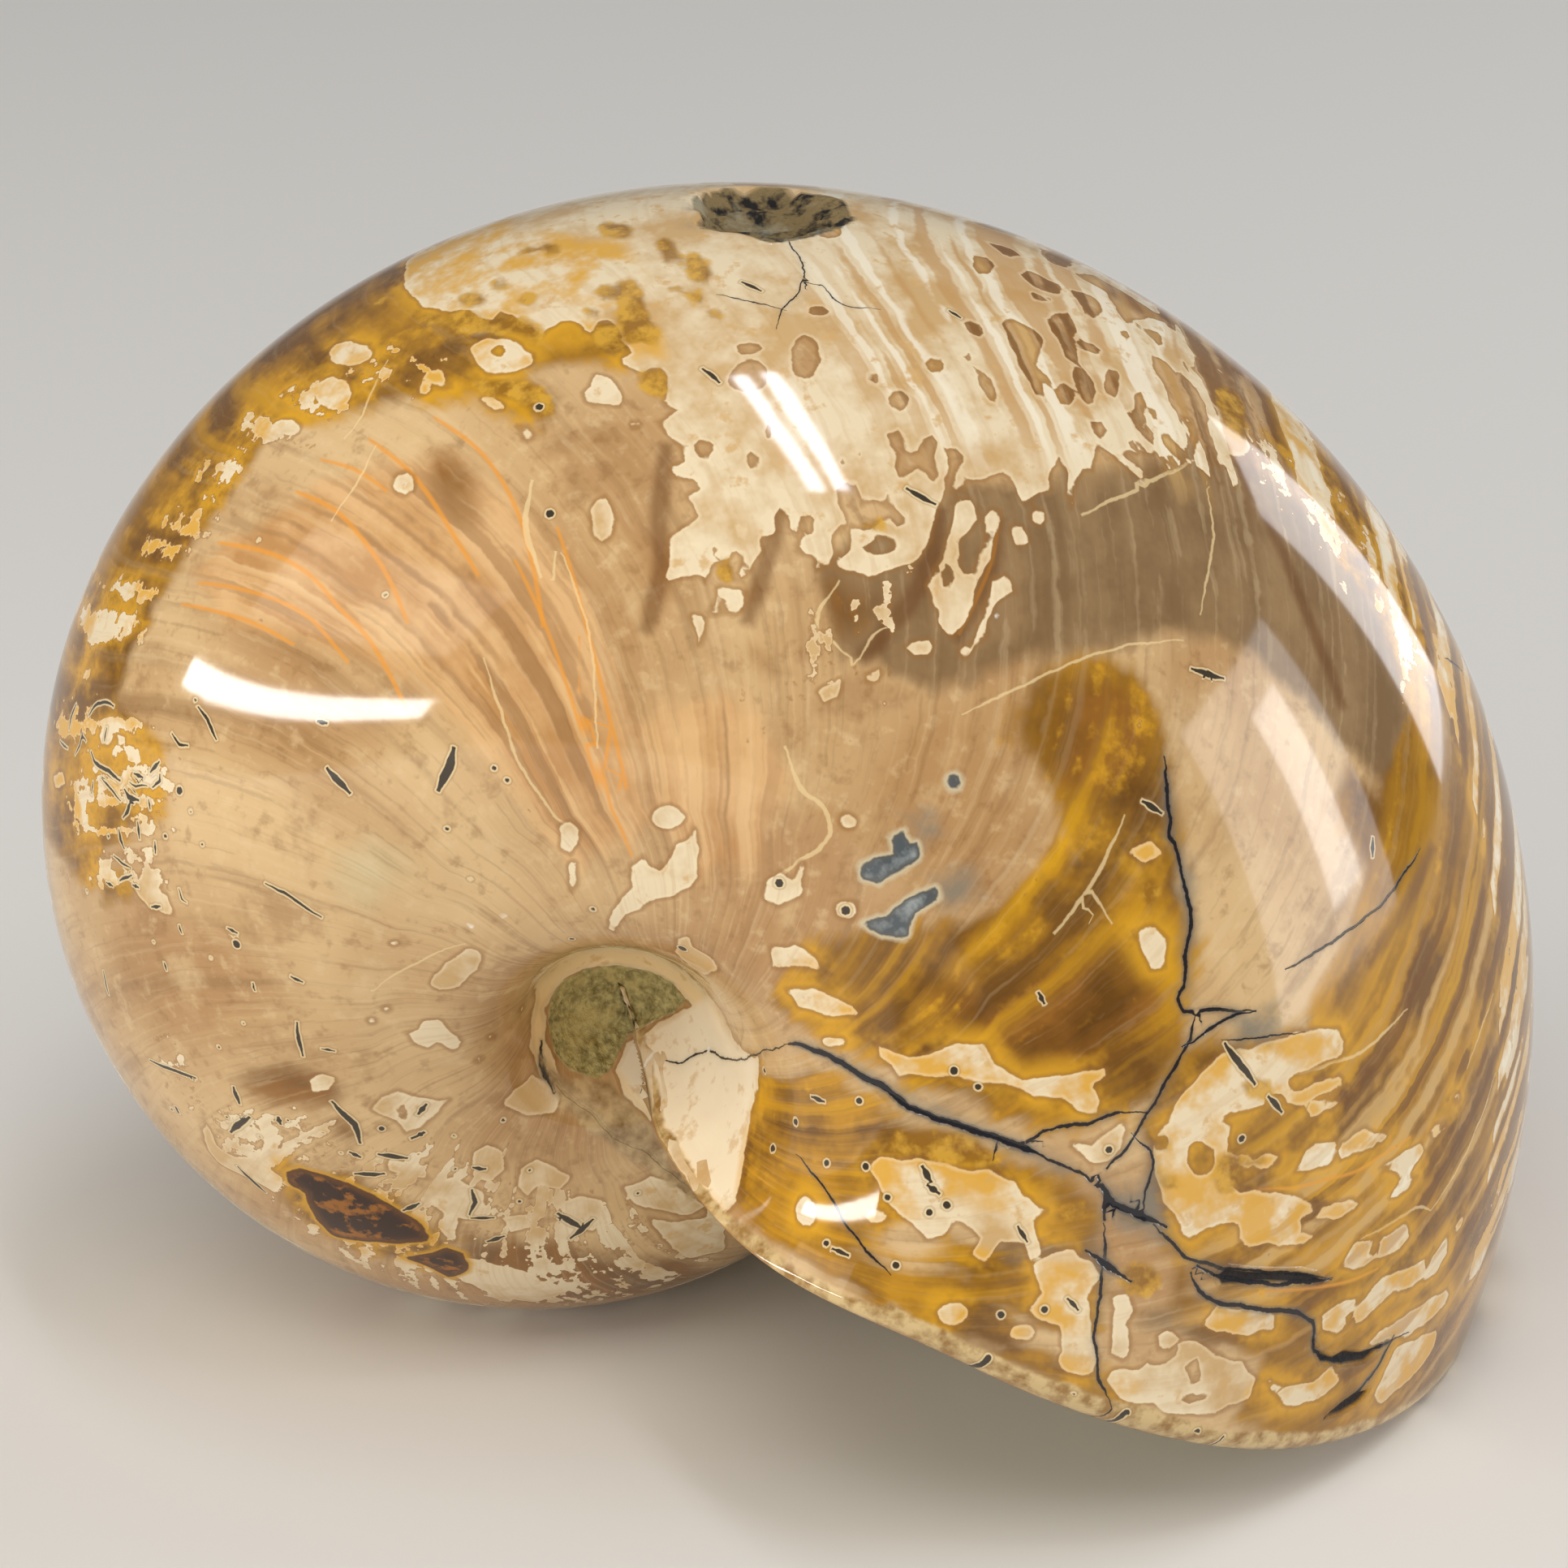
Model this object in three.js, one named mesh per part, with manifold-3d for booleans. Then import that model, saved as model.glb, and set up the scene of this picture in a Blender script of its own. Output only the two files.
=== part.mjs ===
// A fossil nautilus, ground and polished all over, resting on its own venter and lip.
//
// The shell is one whorl of a logarithmic spiral, coiled round the Y axis in the XZ plane. A point of it is
// named by two numbers: how far back from the lip it lies (the coil angle), and where it lies on the
// section, from the venter (the outer keel line) over the flank to the umbilicus (the pocket at the axis).
// The near flank looks along -Y. Rock fills the mouth and both umbilical pockets, so the piece is solid.
//
// Units are millimetres, +Z is up, and the origin is under the middle of the finished piece.

import * as THREE from 'three';
import { ParametricGeometry } from 'three/addons/geometries/ParametricGeometry.js';
import { mergeVertices } from 'three/addons/utils/BufferGeometryUtils.js';
import Module from 'manifold-3d';

// ---- the coil ----
const LIP_RADIUS = 100;          // coil axis to the venter, at the lip
const GROWTH_RATE = 0.160;       // radius grows by exp(rate) for each radian of coil
const LIP_BEARING = -29.1;       // degrees: where the lip stands round the axis, 0 = +X, 90 = +Z
const REST_HEIGHT = 42.8;        // coil axis above the surface that the piece rests on

// ---- the whorl section, as fractions of the radius it has there ----
const HALF_WIDTH = 0.62;         // coil plane to the widest point of the flank
const WIDEST_AT = 0.416;         // distance of the widest point from the axis
const CROWN_POWER = 1.86;        // superellipse power of the crown: 2 is an ellipse
const SHOULDER_DROP = 1.59;      // the flank sinks towards the axis by this, times HALF_WIDTH, ...
const SHOULDER_POWER = 4.3;      // ... times how far in it is, to this power

// ---- the umbilical pocket ----
const RIM_RADIUS = 11;           // coil axis to the rim of the pocket, at the lip
const RIM_GROWTH = 0.04;         // the rim winds out slower than the coil, as the polish opened it up
const POCKET_FLOOR = 20;         // coil plane to the rock floor of the pocket
const POCKET_EASE = 2.4;         // how soon the wall turns into the floor

// ---- the lip ----
const SINUS_DEPTH = 2.8;         // degrees the lip draws back at the venter
const SINUS_SPAN = 0.74;         // share of the crown that the draw-back takes
const CALLUS_REACH = 31.5;       // degrees the lip runs forward at the pocket's rim
const CALLUS_FROM = 0.502;       // distance from the axis where that starts, of the radius
const CALLUS_POWER = 5.35;       // how suddenly it does so
const CALLUS_STOP = 1.05;        // just past the rim, on the pocket wall, it runs no further forward
const LIP_ROUND = 2.6;           // radius of the ground lip edge
const LIP_TUCK = 1.5;            // how far the rolled edge is drawn in, of LIP_ROUND
const LIP_THINS_AT = 40;         // nearer the axis than this, the lip edge is rounded less and less
const MOUTH_HOLLOW = 4.0;        // how far the rock in the mouth is sunk behind the lip

// ---- the rough pit on the venter, from the coil axis ----
const SCAR_CENTRE = [16.2, -1, 73.4];
const SCAR_SIZE = [7.2, 7.6, 4.0];
const SCAR_RAGGED = 0.13;        // how far its outline wanders, of its size
const SCAR_WAVES = [             // what it wanders by: waves along x, y and z, each with its share
  { along: [4.1, 2.3, 0], start: 0, share: 1 },
  { along: [0, 5.3, -3.7], start: 1, share: 0.7 },
];

// ---- the slab of the grinding wheel, larger than the shell each way ----
const SLAB_SIDE = 4 * LIP_RADIUS;
const SLAB_DEPTH = 20;

// ---- how finely the faces are cut ----
const COIL_STEPS = 66;
const LIP_STEPS = 3;
const MOUTH_STEPS = 5;
const CROWN_STEPS = 12;
const FLANK_STEPS = 8;
const WALL_STEPS = 4;
const SCAR_DETAIL = 3;

const TURN = 2 * Math.PI;
const SIDE_STEPS = CROWN_STEPS + FLANK_STEPS + WALL_STEPS;
const RING_STEPS = COIL_STEPS + LIP_STEPS + MOUTH_STEPS;
const { degToRad: radians, lerp } = THREE.MathUtils;

// The section at one place along it, this many radians of coil behind the lip, as { out, side, wall }:
// distance from the axis and from the coil plane, in fractions of the radius it has there, and how far
// down the pocket wall it is (0 on the rim, 1 on the axis).
function section(step, turn) {
  if (step <= CROWN_STEPS) {
    const angle = (step / CROWN_STEPS) * Math.PI / 2;
    const power = 2 / CROWN_POWER;
    return {
      out: WIDEST_AT + (1 - WIDEST_AT) * Math.abs(Math.cos(angle)) ** power,
      side: HALF_WIDTH * Math.sin(angle) ** power,
      wall: 0,
    };
  }
  const inward = Math.min((step - CROWN_STEPS) / FLANK_STEPS, 1);
  const wall = Math.max((step - CROWN_STEPS - FLANK_STEPS) / WALL_STEPS, 0);
  const rim = (RIM_RADIUS / LIP_RADIUS) * Math.exp((GROWTH_RATE - RIM_GROWTH) * turn);
  const out = lerp(WIDEST_AT, rim, inward);
  return {
    out: out * (1 - wall),
    side: HALF_WIDTH * (1 - SHOULDER_DROP * (1 - out / WIDEST_AT) ** SHOULDER_POWER),
    wall,
  };
}

// How far the lip, and every growth line behind it, is turned from a straight radius, in radians.
function lipTurn(step, out) {
  const nearVenter = Math.max(1 - (step / CROWN_STEPS / SINUS_SPAN) ** 2, 0);
  const nearAxis = Math.max((CALLUS_FROM - out) / (CALLUS_FROM - RIM_RADIUS / LIP_RADIUS), 0);
  const callus = Math.min(nearAxis, CALLUS_STOP) ** CALLUS_POWER;
  return radians(SINUS_DEPTH * nearVenter ** 2 - CALLUS_REACH * callus);
}

// A point of the whorl, in cylinder coordinates round the coil axis.
function whorlPoint(step, turn) {
  const { out, side, wall } = section(step, turn);
  const angle = lipTurn(step, out) + turn;
  const radius = LIP_RADIUS * Math.exp(-GROWTH_RATE * angle);
  const sink = 1 - (1 - wall) ** POCKET_EASE;
  return {
    bearing: radians(LIP_BEARING) + angle,
    out: radius * out,
    side: lerp(radius * side, POCKET_FLOOR, sink),
    wall,
  };
}

// The lip edge is rolled over by a quarter circle: forward, and in towards the middle of the section.
function lipPoint(step, roll) {
  const edge = whorlPoint(step, 0);
  const round = LIP_ROUND * Math.min(edge.out / LIP_THINS_AT, 1) * (1 - edge.wall);
  const shrink = 1 - LIP_TUCK * (round / LIP_RADIUS) * (1 - Math.cos(roll));
  return {
    bearing: edge.bearing - (round * Math.sin(roll)) / Math.max(edge.out, RIM_RADIUS),
    out: edge.out * shrink,
    side: edge.side * lerp(shrink, 1, edge.wall),
    wall: edge.wall,
  };
}

// The rock face in the mouth runs from the rolled lip in to the venter of the whorl that it grew over.
function mouthPoint(step, along) {
  const from = lipPoint(step, Math.PI / 2);
  const to = whorlPoint(step, TURN);
  const out = lerp(from.out, to.out, along);
  const hollow = MOUTH_HOLLOW * Math.sin(Math.PI * along) * (1 - from.wall);
  return {
    bearing: lerp(from.bearing, to.bearing - TURN, along) + hollow / Math.max(out, RIM_RADIUS),
    out,
    side: lerp(from.side, to.side, along),
  };
}

function ringPoint(step, ring) {
  if (ring <= COIL_STEPS) return whorlPoint(step, (ring / COIL_STEPS) * TURN);
  if (ring <= COIL_STEPS + MOUTH_STEPS) return mouthPoint(step, 1 - (ring - COIL_STEPS) / MOUTH_STEPS);
  return lipPoint(step, (1 - (ring - COIL_STEPS - MOUTH_STEPS) / LIP_STEPS) * Math.PI / 2);
}

// The whole skin as one closed sheet: round the coil one way, from pocket to pocket over the venter the other.
function skin(u, v, target) {
  const ring = Math.round(u * RING_STEPS) % RING_STEPS;
  const step = Math.round((2 * v - 1) * SIDE_STEPS);
  const { bearing, out, side } = ringPoint(Math.abs(step), ring);
  target.set(out * Math.cos(bearing), Math.sign(step) * side, out * Math.sin(bearing));
}

// A closed mesh with shared corners, its empty triangles dropped and its faces pointing out.
function closed(geometry) {
  geometry.deleteAttribute('normal');
  geometry.deleteAttribute('uv');
  const merged = mergeVertices(geometry);
  const corner = merged.getAttribute('position');
  const index = merged.getIndex().array;
  const kept = [];
  let volume = 0;
  for (let i = 0; i < index.length; i += 3) {
    const [a, b, c] = index.slice(i, i + 3);
    if (a === b || b === c || c === a) continue;
    kept.push(a, b, c);
    const [p, q, r] = [a, b, c].map((k) => new THREE.Vector3().fromBufferAttribute(corner, k));
    volume += p.dot(q.cross(r)) / 6;
  }
  if (volume < 0) kept.reverse();
  merged.setIndex(kept);
  return merged;
}

function toSolid(wasm, geometry) {
  const merged = closed(geometry);
  return new wasm.Manifold(new wasm.Mesh({
    numProp: 3,
    vertProperties: new Float32Array(merged.getAttribute('position').array),
    triVerts: new Uint32Array(merged.getIndex().array),
  }));
}

function toGeometry(solid) {
  const mesh = solid.getMesh();
  const geometry = new THREE.BufferGeometry();
  geometry.setAttribute('position', new THREE.BufferAttribute(new Float32Array(mesh.vertProperties), 3));
  geometry.setIndex(new THREE.BufferAttribute(new Uint32Array(mesh.triVerts), 1));
  return geometry;
}

function shellBlank() {
  return new ParametricGeometry(skin, RING_STEPS, 2 * SIDE_STEPS);
}

// The ragged blank that breaks the rough pit out of the venter: a ball whose corners wander in and out.
function scarCutter() {
  const cutter = new THREE.IcosahedronGeometry(1, SCAR_DETAIL);
  const corners = cutter.getAttribute('position');
  const corner = new THREE.Vector3();
  for (let i = 0; i < corners.count; i += 1) {
    corner.fromBufferAttribute(corners, i);
    let wander = 1;
    for (const { along, start, share } of SCAR_WAVES) {
      wander += SCAR_RAGGED * share * Math.sin(corner.dot(new THREE.Vector3(...along)) + start);
    }
    corner.multiplyScalar(wander);
    corners.setXYZ(i, corner.x, corner.y, corner.z);
  }
  return cutter.scale(...SCAR_SIZE).translate(...SCAR_CENTRE);
}

// The slab that grinds the small flats under the early whorl and the lip, its top where the piece rests.
function grindingSlab() {
  const slab = new THREE.BoxGeometry(SLAB_SIDE, SLAB_SIDE, SLAB_DEPTH);
  return slab.translate(0, 0, -REST_HEIGHT - SLAB_DEPTH / 2);
}

const wasm = await Module();
wasm.setup();

const carved = toSolid(wasm, shellBlank())
  .subtract(toSolid(wasm, scarCutter()))
  .subtract(toSolid(wasm, grindingSlab()));

const geometry = toGeometry(carved);
geometry.computeBoundingBox();
const { min, max } = geometry.boundingBox;
geometry.translate(-(min.x + max.x) / 2, -(min.y + max.y) / 2, -min.z);
geometry.computeVertexNormals();

// Shell and rock are one stone now: honey-tan calcite with cream and amber, polished to a gloss.
const polishedFossil = new THREE.MeshStandardMaterial({ color: 0xc9a273, roughness: 0.18, metalness: 0 });

const nautilus = new THREE.Mesh(geometry, polishedFossil);
nautilus.name = 'nautilus';

const fossil = new THREE.Group();
fossil.add(nautilus);

export default fossil;
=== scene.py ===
# %% [markdown]
# # A polished fossil nautilus
# A nautilus shell filled with lime mud, and over a hundred million years shell and mud became one stone. A
# stone cutter ground it smooth and polished it, so the ribs and chambers of the living shell are now only
# colours under a glossy skin. In this lesson the shell is drawn as a flat sheet of cells, rolled up along a
# logarithmic spiral, broken where it is rough, and then stained, layer by layer, the way the stone was.
# Every length is in metres, and the solid that the shell is built around comes first.

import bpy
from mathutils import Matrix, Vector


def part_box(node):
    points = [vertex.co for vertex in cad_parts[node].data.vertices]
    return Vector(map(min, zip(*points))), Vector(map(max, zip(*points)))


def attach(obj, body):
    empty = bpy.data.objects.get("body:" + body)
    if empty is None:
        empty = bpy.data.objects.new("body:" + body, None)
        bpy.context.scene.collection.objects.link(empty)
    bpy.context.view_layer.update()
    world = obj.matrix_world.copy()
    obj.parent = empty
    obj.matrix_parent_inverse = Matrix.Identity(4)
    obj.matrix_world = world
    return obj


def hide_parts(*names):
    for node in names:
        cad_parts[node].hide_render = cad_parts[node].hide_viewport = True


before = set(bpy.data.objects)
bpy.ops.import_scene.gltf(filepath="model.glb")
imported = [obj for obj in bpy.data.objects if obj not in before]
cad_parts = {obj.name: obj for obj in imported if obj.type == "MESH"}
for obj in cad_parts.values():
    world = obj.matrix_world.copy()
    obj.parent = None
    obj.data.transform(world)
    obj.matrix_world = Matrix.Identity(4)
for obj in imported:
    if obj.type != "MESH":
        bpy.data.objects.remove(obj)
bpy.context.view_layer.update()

import math

import bpy
import numpy as np
from mathutils import Matrix, Vector, noise
from mathutils.bvhtree import BVHTree
from mathutils.kdtree import KDTree

MM = 0.001
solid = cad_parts["nautilus"]
low_corner, high_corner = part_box("nautilus")
print("the solid is", [round(float(b - a) / MM, 1) for a, b in zip(low_corner, high_corner)], "mm")

# %% [markdown]
# ## The coil
# A nautilus keeps its shape as it grows: each turn is the last one again, only larger. So the venter, the
# outer keel line, is a logarithmic spiral. The numbers here are the ones that a maker would take with a
# calliper: the radius at the lip, how fast it grows, and how wide and how round the whorl is.

# %% The shell's own measures
LIP_RADIUS = 100 * MM        # coil axis to the venter, at the lip
GROWTH_RATE = 0.160          # the radius grows by exp(rate) for each radian of coil
LIP_BEARING = math.radians(-29.1)
REST_HEIGHT = 42.8 * MM      # coil axis above the table
HALF_WIDTH = 0.62            # coil plane to the widest point, as a share of the radius there
WIDEST_AT = 0.416            # that point's distance from the axis, as the same share
CROWN_POWER = 1.86           # 2 would make the crown an ellipse
SHOULDER_DROP, SHOULDER_POWER = 1.59, 4.3
RIM_RADIUS = 11 * MM         # coil axis to the rim of the umbilical pocket, at the lip
RIM_GROWTH = 0.04
POCKET_FLOOR, POCKET_EASE = 20 * MM, 2.4
SINUS_DEPTH, SINUS_SPAN = math.radians(2.8), 0.74
CALLUS_REACH, CALLUS_FROM, CALLUS_POWER, CALLUS_STOP = math.radians(31.5), 0.502, 5.35, 1.05
LIP_ROUND, LIP_TUCK, LIP_THINS_AT = 2.6 * MM, 1.5, 40 * MM
MOUTH_HOLLOW = 4.0 * MM
TURN = 2 * math.pi
RIM_SHARE = RIM_RADIUS / LIP_RADIUS
print("the radius is", round(LIP_RADIUS / MM, 1), "mm at the lip and",
      round(LIP_RADIUS * math.exp(-GROWTH_RATE * TURN) / MM, 1), "mm one turn back")


# %% The section of the whorl, and the growth line that the lip follows
# "across" runs from 0 on the venter to 1 at the widest point, 2 on the pocket's rim and 3 on the coil axis,
# and it is negative on the near flank.
def section(turn, across):
    """Distance from the axis and from the coil plane, both as shares, and how far down the pocket wall."""
    reach = np.abs(across)
    angle = np.clip(reach, 0, 1) * math.pi / 2
    power = 2 / CROWN_POWER
    inward, wall = np.clip(reach - 1, 0, 1), np.clip(reach - 2, 0, 1)
    rim = RIM_SHARE * np.exp((GROWTH_RATE - RIM_GROWTH) * turn)
    crown = WIDEST_AT + (1 - WIDEST_AT) * np.abs(np.cos(angle)) ** power
    out = np.where(reach <= 1, crown, WIDEST_AT + (rim - WIDEST_AT) * inward)
    drop = SHOULDER_DROP * (1 - np.minimum(out / WIDEST_AT, 1)) ** SHOULDER_POWER
    side = HALF_WIDTH * np.where(reach <= 1, np.sin(angle) ** power, 1 - drop)
    return out, side, wall


def lip_turn(across, out):
    """How far a growth line is turned from a straight radius, in radians."""
    near_venter = np.maximum(1 - (np.abs(across) / SINUS_SPAN) ** 2, 0)
    near_axis = np.maximum((CALLUS_FROM - out) / (CALLUS_FROM - RIM_SHARE), 0)
    return SINUS_DEPTH * near_venter ** 2 - CALLUS_REACH * np.minimum(near_axis, CALLUS_STOP) ** CALLUS_POWER


def whorl(turn, across):
    """Bearing, distance out and distance to the side of a point of the whorl."""
    out, side, wall = section(turn, across)
    flat = out * (1 - wall)
    angle = lip_turn(across, flat) + turn
    radius = LIP_RADIUS * np.exp(-GROWTH_RATE * angle)
    sink = 1 - (1 - wall) ** POCKET_EASE
    return LIP_BEARING + angle, radius * flat, radius * side * (1 - sink) + POCKET_FLOOR * sink, wall


at_lip = whorl(np.zeros(1), np.ones(1))
print("at the lip the whorl is", round(2 * float(at_lip[2][0]) / MM, 1), "mm wide")

# %% [markdown]
# The lip is rolled over by a quarter circle, and behind it the rock that fills the mouth runs in to the
# early whorl. Both are drawn from the same section, so lip, rock and whorl meet without a gap.

# %% The lip and the rock in the mouth
def lip(across, roll):
    """The lip's edge, rolled over by some radians."""
    bearing, out, side, wall = whorl(np.zeros_like(across), across)
    curve = LIP_ROUND * np.minimum(out / LIP_THINS_AT, 1) * (1 - wall)
    shrink = 1 - LIP_TUCK * (curve / LIP_RADIUS) * (1 - np.cos(roll))
    bearing = bearing - curve * np.sin(roll) / np.maximum(out, RIM_RADIUS)
    return bearing, out * shrink, side * (shrink * (1 - wall) + wall), wall


def mouth(across, share):
    """The rock in the mouth, from the lip (0) in to the early whorl (1), and hollow between them."""
    start = lip(across, np.full_like(across, math.pi / 2))
    end = whorl(np.full_like(across, TURN), across)
    bearing, out, side = (a + (b - a) * share for a, b in zip(start[:3], (end[0] - TURN, *end[1:3])))
    hollow = MOUTH_HOLLOW * np.sin(math.pi * share) * (1 - start[3])
    return bearing + hollow / np.maximum(out, RIM_RADIUS), out, side, start[3]


def place(bearing, out, side, across):
    """Cylinder coordinates round the coil axis, turned into x, y and z from that axis."""
    return np.stack([out * np.cos(bearing), np.sign(across) * side, out * np.sin(bearing)], axis=-1)


def on_whorl(turn, across):
    """The surface as x, y and z from the coil axis."""
    bearing, out, side, wall = whorl(turn, across)
    return place(bearing, out, side, across)


venter = on_whorl(np.zeros(1), np.zeros(1))[0]
print("on the venter the lip lies", [round(float(v) / MM, 1) for v in venter], "mm from the coil axis")

# %% [markdown]
# ## The camera
# It stands in front of the near flank and a little above, as one looks at a piece on a table. It is made
# before the shell, because the marks on the stone are noted by where this camera sees them.

# %% Stand the camera in front of the near flank
PICTURE = 1932                      # the camera's picture is this many pixels wide and high
CAMERA_TURN, CAMERA_RISE = math.radians(-2.9946), math.radians(24.5131)
CAMERA_FAR = 538.17 * MM
CAMERA_AIM = (17.2348 * MM, 11.0152 * MM)   # right of and above the coil axis, as the camera sees it
FOCAL_SHARE = 6.8251 / 2            # focal length over the width of the sensor
SENSOR = 36.0                       # mm
NEAREST_SEEN = 10 * MM
LATTICE_TURNS, LATTICE_ROWS, LATTICE_ACROSS = 480, 260, (-2.9, 1)

# a fine lattice from the near pocket to past the venter, over all of the whorl that the camera can see
lattice_turn, lattice_across = (grid.ravel() for grid in np.meshgrid(
    np.linspace(0, TURN, LATTICE_TURNS), np.linspace(*LATTICE_ACROSS, LATTICE_ROWS)))
lattice = on_whorl(lattice_turn, lattice_across)
coil_axis = Vector((low_corner.x - lattice[:, 0].min(), 0, low_corner.z + REST_HEIGHT))

back = Vector((math.sin(CAMERA_TURN) * math.cos(CAMERA_RISE),
               -math.cos(CAMERA_TURN) * math.cos(CAMERA_RISE),
               math.sin(CAMERA_RISE)))
right = Vector((math.cos(CAMERA_TURN), math.sin(CAMERA_TURN), 0))
up = right.cross(-back)
aim = coil_axis + right * CAMERA_AIM[0] + up * CAMERA_AIM[1]
eye = aim + back * CAMERA_FAR

bpy.ops.object.select_all(action="DESELECT")
bpy.ops.object.camera_add(location=eye)
camera = bpy.context.object
camera.name = "camera"
camera.matrix_world = Matrix.Translation(eye) @ Matrix((right, up, back)).transposed().to_4x4()
camera.data.sensor_width = SENSOR
camera.data.lens = SENSOR * FOCAL_SHARE
camera.data.clip_start = NEAREST_SEEN
bpy.context.scene.camera = camera
print("the coil axis is at", [round(v / MM, 2) for v in coil_axis], "mm and the camera at",
      [round(v / MM) for v in eye])

# %% [markdown]
# ## A flat sheet to roll up
# A sheet of paper can be rolled into a horn, and so can a sheet of cells. Along it the cells count rows: over
# the rock in the mouth, round the lip, back along the coil, and over the rock again. Across it they count
# columns, from the far pocket over the venter to the near pocket. The near flank gets the finer cells.

# %% Draw the flat sheet
MOUTH_ROWS, LIP_ROWS, COIL_ROWS = 12, 8, 216
ROWS = MOUTH_ROWS + LIP_ROWS + COIL_ROWS + MOUTH_ROWS
COLUMN_MARKS = (0, 14, 44, 112, 152, 168, 176)    # columns where across is -3, -2, -1, 0, 1, 2 and 3
COLUMNS = COLUMN_MARKS[-1]

bpy.ops.mesh.primitive_grid_add(x_subdivisions=ROWS, y_subdivisions=COLUMNS, size=1)
shell = bpy.context.object
shell.name = "polished_nautilus"
bpy.ops.transform.translate(value=(0.5, 0.5, 0))
bpy.ops.object.transform_apply(location=True)
bpy.ops.transform.resize(value=(ROWS, COLUMNS, 1))
bpy.ops.object.transform_apply(scale=True)


def numbers(mesh, what="co"):
    """The positions or the normals of a mesh's points, as an array."""
    values = np.empty(len(mesh.vertices) * 3)
    mesh.vertices.foreach_get(what, values)
    return values.reshape(-1, 3)


def chart(row, column):
    """What a place on the sheet is: turn, across, roll of the lip, and share of the mouth (-1: not there)."""
    across = np.interp(column, COLUMN_MARKS, range(-3, 4))
    lip_from, coil_from = MOUTH_ROWS, MOUTH_ROWS + LIP_ROWS
    coil_to = coil_from + COIL_ROWS
    arc = np.clip((row - coil_from) / COIL_ROWS, 0, 1)
    turn = -np.log(1 - arc * (1 - math.exp(-GROWTH_RATE * TURN))) / GROWTH_RATE
    roll = np.clip((coil_from - row) / LIP_ROWS, 0, 1) * math.pi / 2
    outer = np.clip((lip_from - row) / MOUTH_ROWS, 0, 1) / 2
    inner = 1 - np.clip((row - coil_to) / MOUTH_ROWS, 0, 1) / 2
    share = np.where(row < lip_from, outer, np.where(row > coil_to, inner, -1))
    return turn, across, roll, share


print("the sheet has", len(shell.data.polygons), "cells")
# %% [markdown]
# ## From the picture to the stone
# A stone carver marks out a block before cutting it, and the stains of this stone are marked out the
# same way: each is noted by where the camera sees it, in pixels from the picture's top left corner. A ray
# from the camera through each noted pixel meets the solid at one spot. That spot is then named by the sheet's
# own two numbers, turn and across, by taking the nearest point of the fine lattice and two small corrections.
# From then on the mark belongs to the stone: it can be mirrored to the far flank, and measured in metres.

# %% Send a ray through each pixel
PIXEL = CAMERA_FAR / (FOCAL_SHARE * PICTURE)      # what one pixel covers, at the coil axis
AIM_STEP = 0.004                                  # a miss is tried again this share nearer the middle
AIM_TRIES = 60
CORRECTIONS = 2                                   # from the nearest lattice point to the spot itself
CHART_FROM, CHART_TO = -2.95, 0.99                # the camera sees no more of across than this

solid_tree = BVHTree.FromPolygons([v.co for v in solid.data.vertices],
                                  [p.vertices for p in solid.data.polygons])
lattice_tree = KDTree(len(lattice))
for index, spot in enumerate(lattice):
    lattice_tree.insert(spot, index)
lattice_tree.balance()


def hit(pixel):
    """Where the line through a pixel meets the solid, from the coil axis."""
    middle = PICTURE / 2
    x, y = pixel
    for _ in range(AIM_TRIES):
        side, rise = (x - middle) / (FOCAL_SHARE * PICTURE), (middle - y) / (FOCAL_SHARE * PICTURE)
        found = solid_tree.ray_cast(eye, (right * side + up * rise - back).normalized())[0]
        if found is not None:
            return found - coil_axis
        x, y = x + (middle - x) * AIM_STEP, y + (middle - y) * AIM_STEP
    raise ValueError(f"no stone near pixel {pixel}")


def slopes(turn, across, step=1e-4):
    """How fast the surface moves with turn and with across, in metres."""
    return ((on_whorl(turn + step, across) - on_whorl(turn - step, across)) / (2 * step),
            (on_whorl(turn, across + step) - on_whorl(turn, across - step)) / (2 * step))


def on_chart(pixels):
    """Turn and across of a list of pixels."""
    spots = np.array([hit(pixel) for pixel in pixels])
    nearest = [lattice_tree.find(spot)[1] for spot in spots]
    turn, across = lattice_turn[nearest].copy(), lattice_across[nearest].copy()
    for _ in range(CORRECTIONS):
        along, over = slopes(turn, across)
        miss = spots - on_whorl(turn, across)
        aa, ab, bb = (along * along).sum(1), (along * over).sum(1), (over * over).sum(1)
        am, bm = (along * miss).sum(1), (over * miss).sum(1)
        spread = aa * bb - ab * ab + 1e-16
        turn = np.clip(turn + (am * bb - bm * ab) / spread, 0, TURN)
        across = np.clip(across + (bm * aa - am * ab) / spread, CHART_FROM, CHART_TO)
    most = np.median(turn)
    turn = np.where(np.abs(turn - most) > TURN / 3, TURN * (most > TURN / 2), turn)   # on one side of the lip
    return np.stack([turn, across], axis=1)


print("one pixel covers", round(PIXEL / MM, 4), "mm at the coil axis")

# %% Read a list of marks and place it on the stone
# A list has one mark on each line: its label, half its width in pixels if it is a line, and its pixels. A
# line that starts with + goes on with the mark before it. An area is an outline, and one that is given by two
# corners is the oval between them.
OVAL_POINTS = 14

areas, lines = {}, {}


def read_marks(text):
    """Each mark of a list as its half width in pixels (0 for an area) and its pixels."""
    marks = []
    for line in text.strip().splitlines():
        label, _, places = line.rpartition("+" if line[0] == "+" else ":")
        pixels = [tuple(map(float, pair.split(","))) for pair in places.split()]
        if line[0] == "+":
            marks[-1][1].extend(pixels)
            continue
        first = label.split()[0] if label.split() else ""
        marks.append((float(first) if first.replace(".", "").isdigit() else 0.0, pixels))
    return marks


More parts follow.
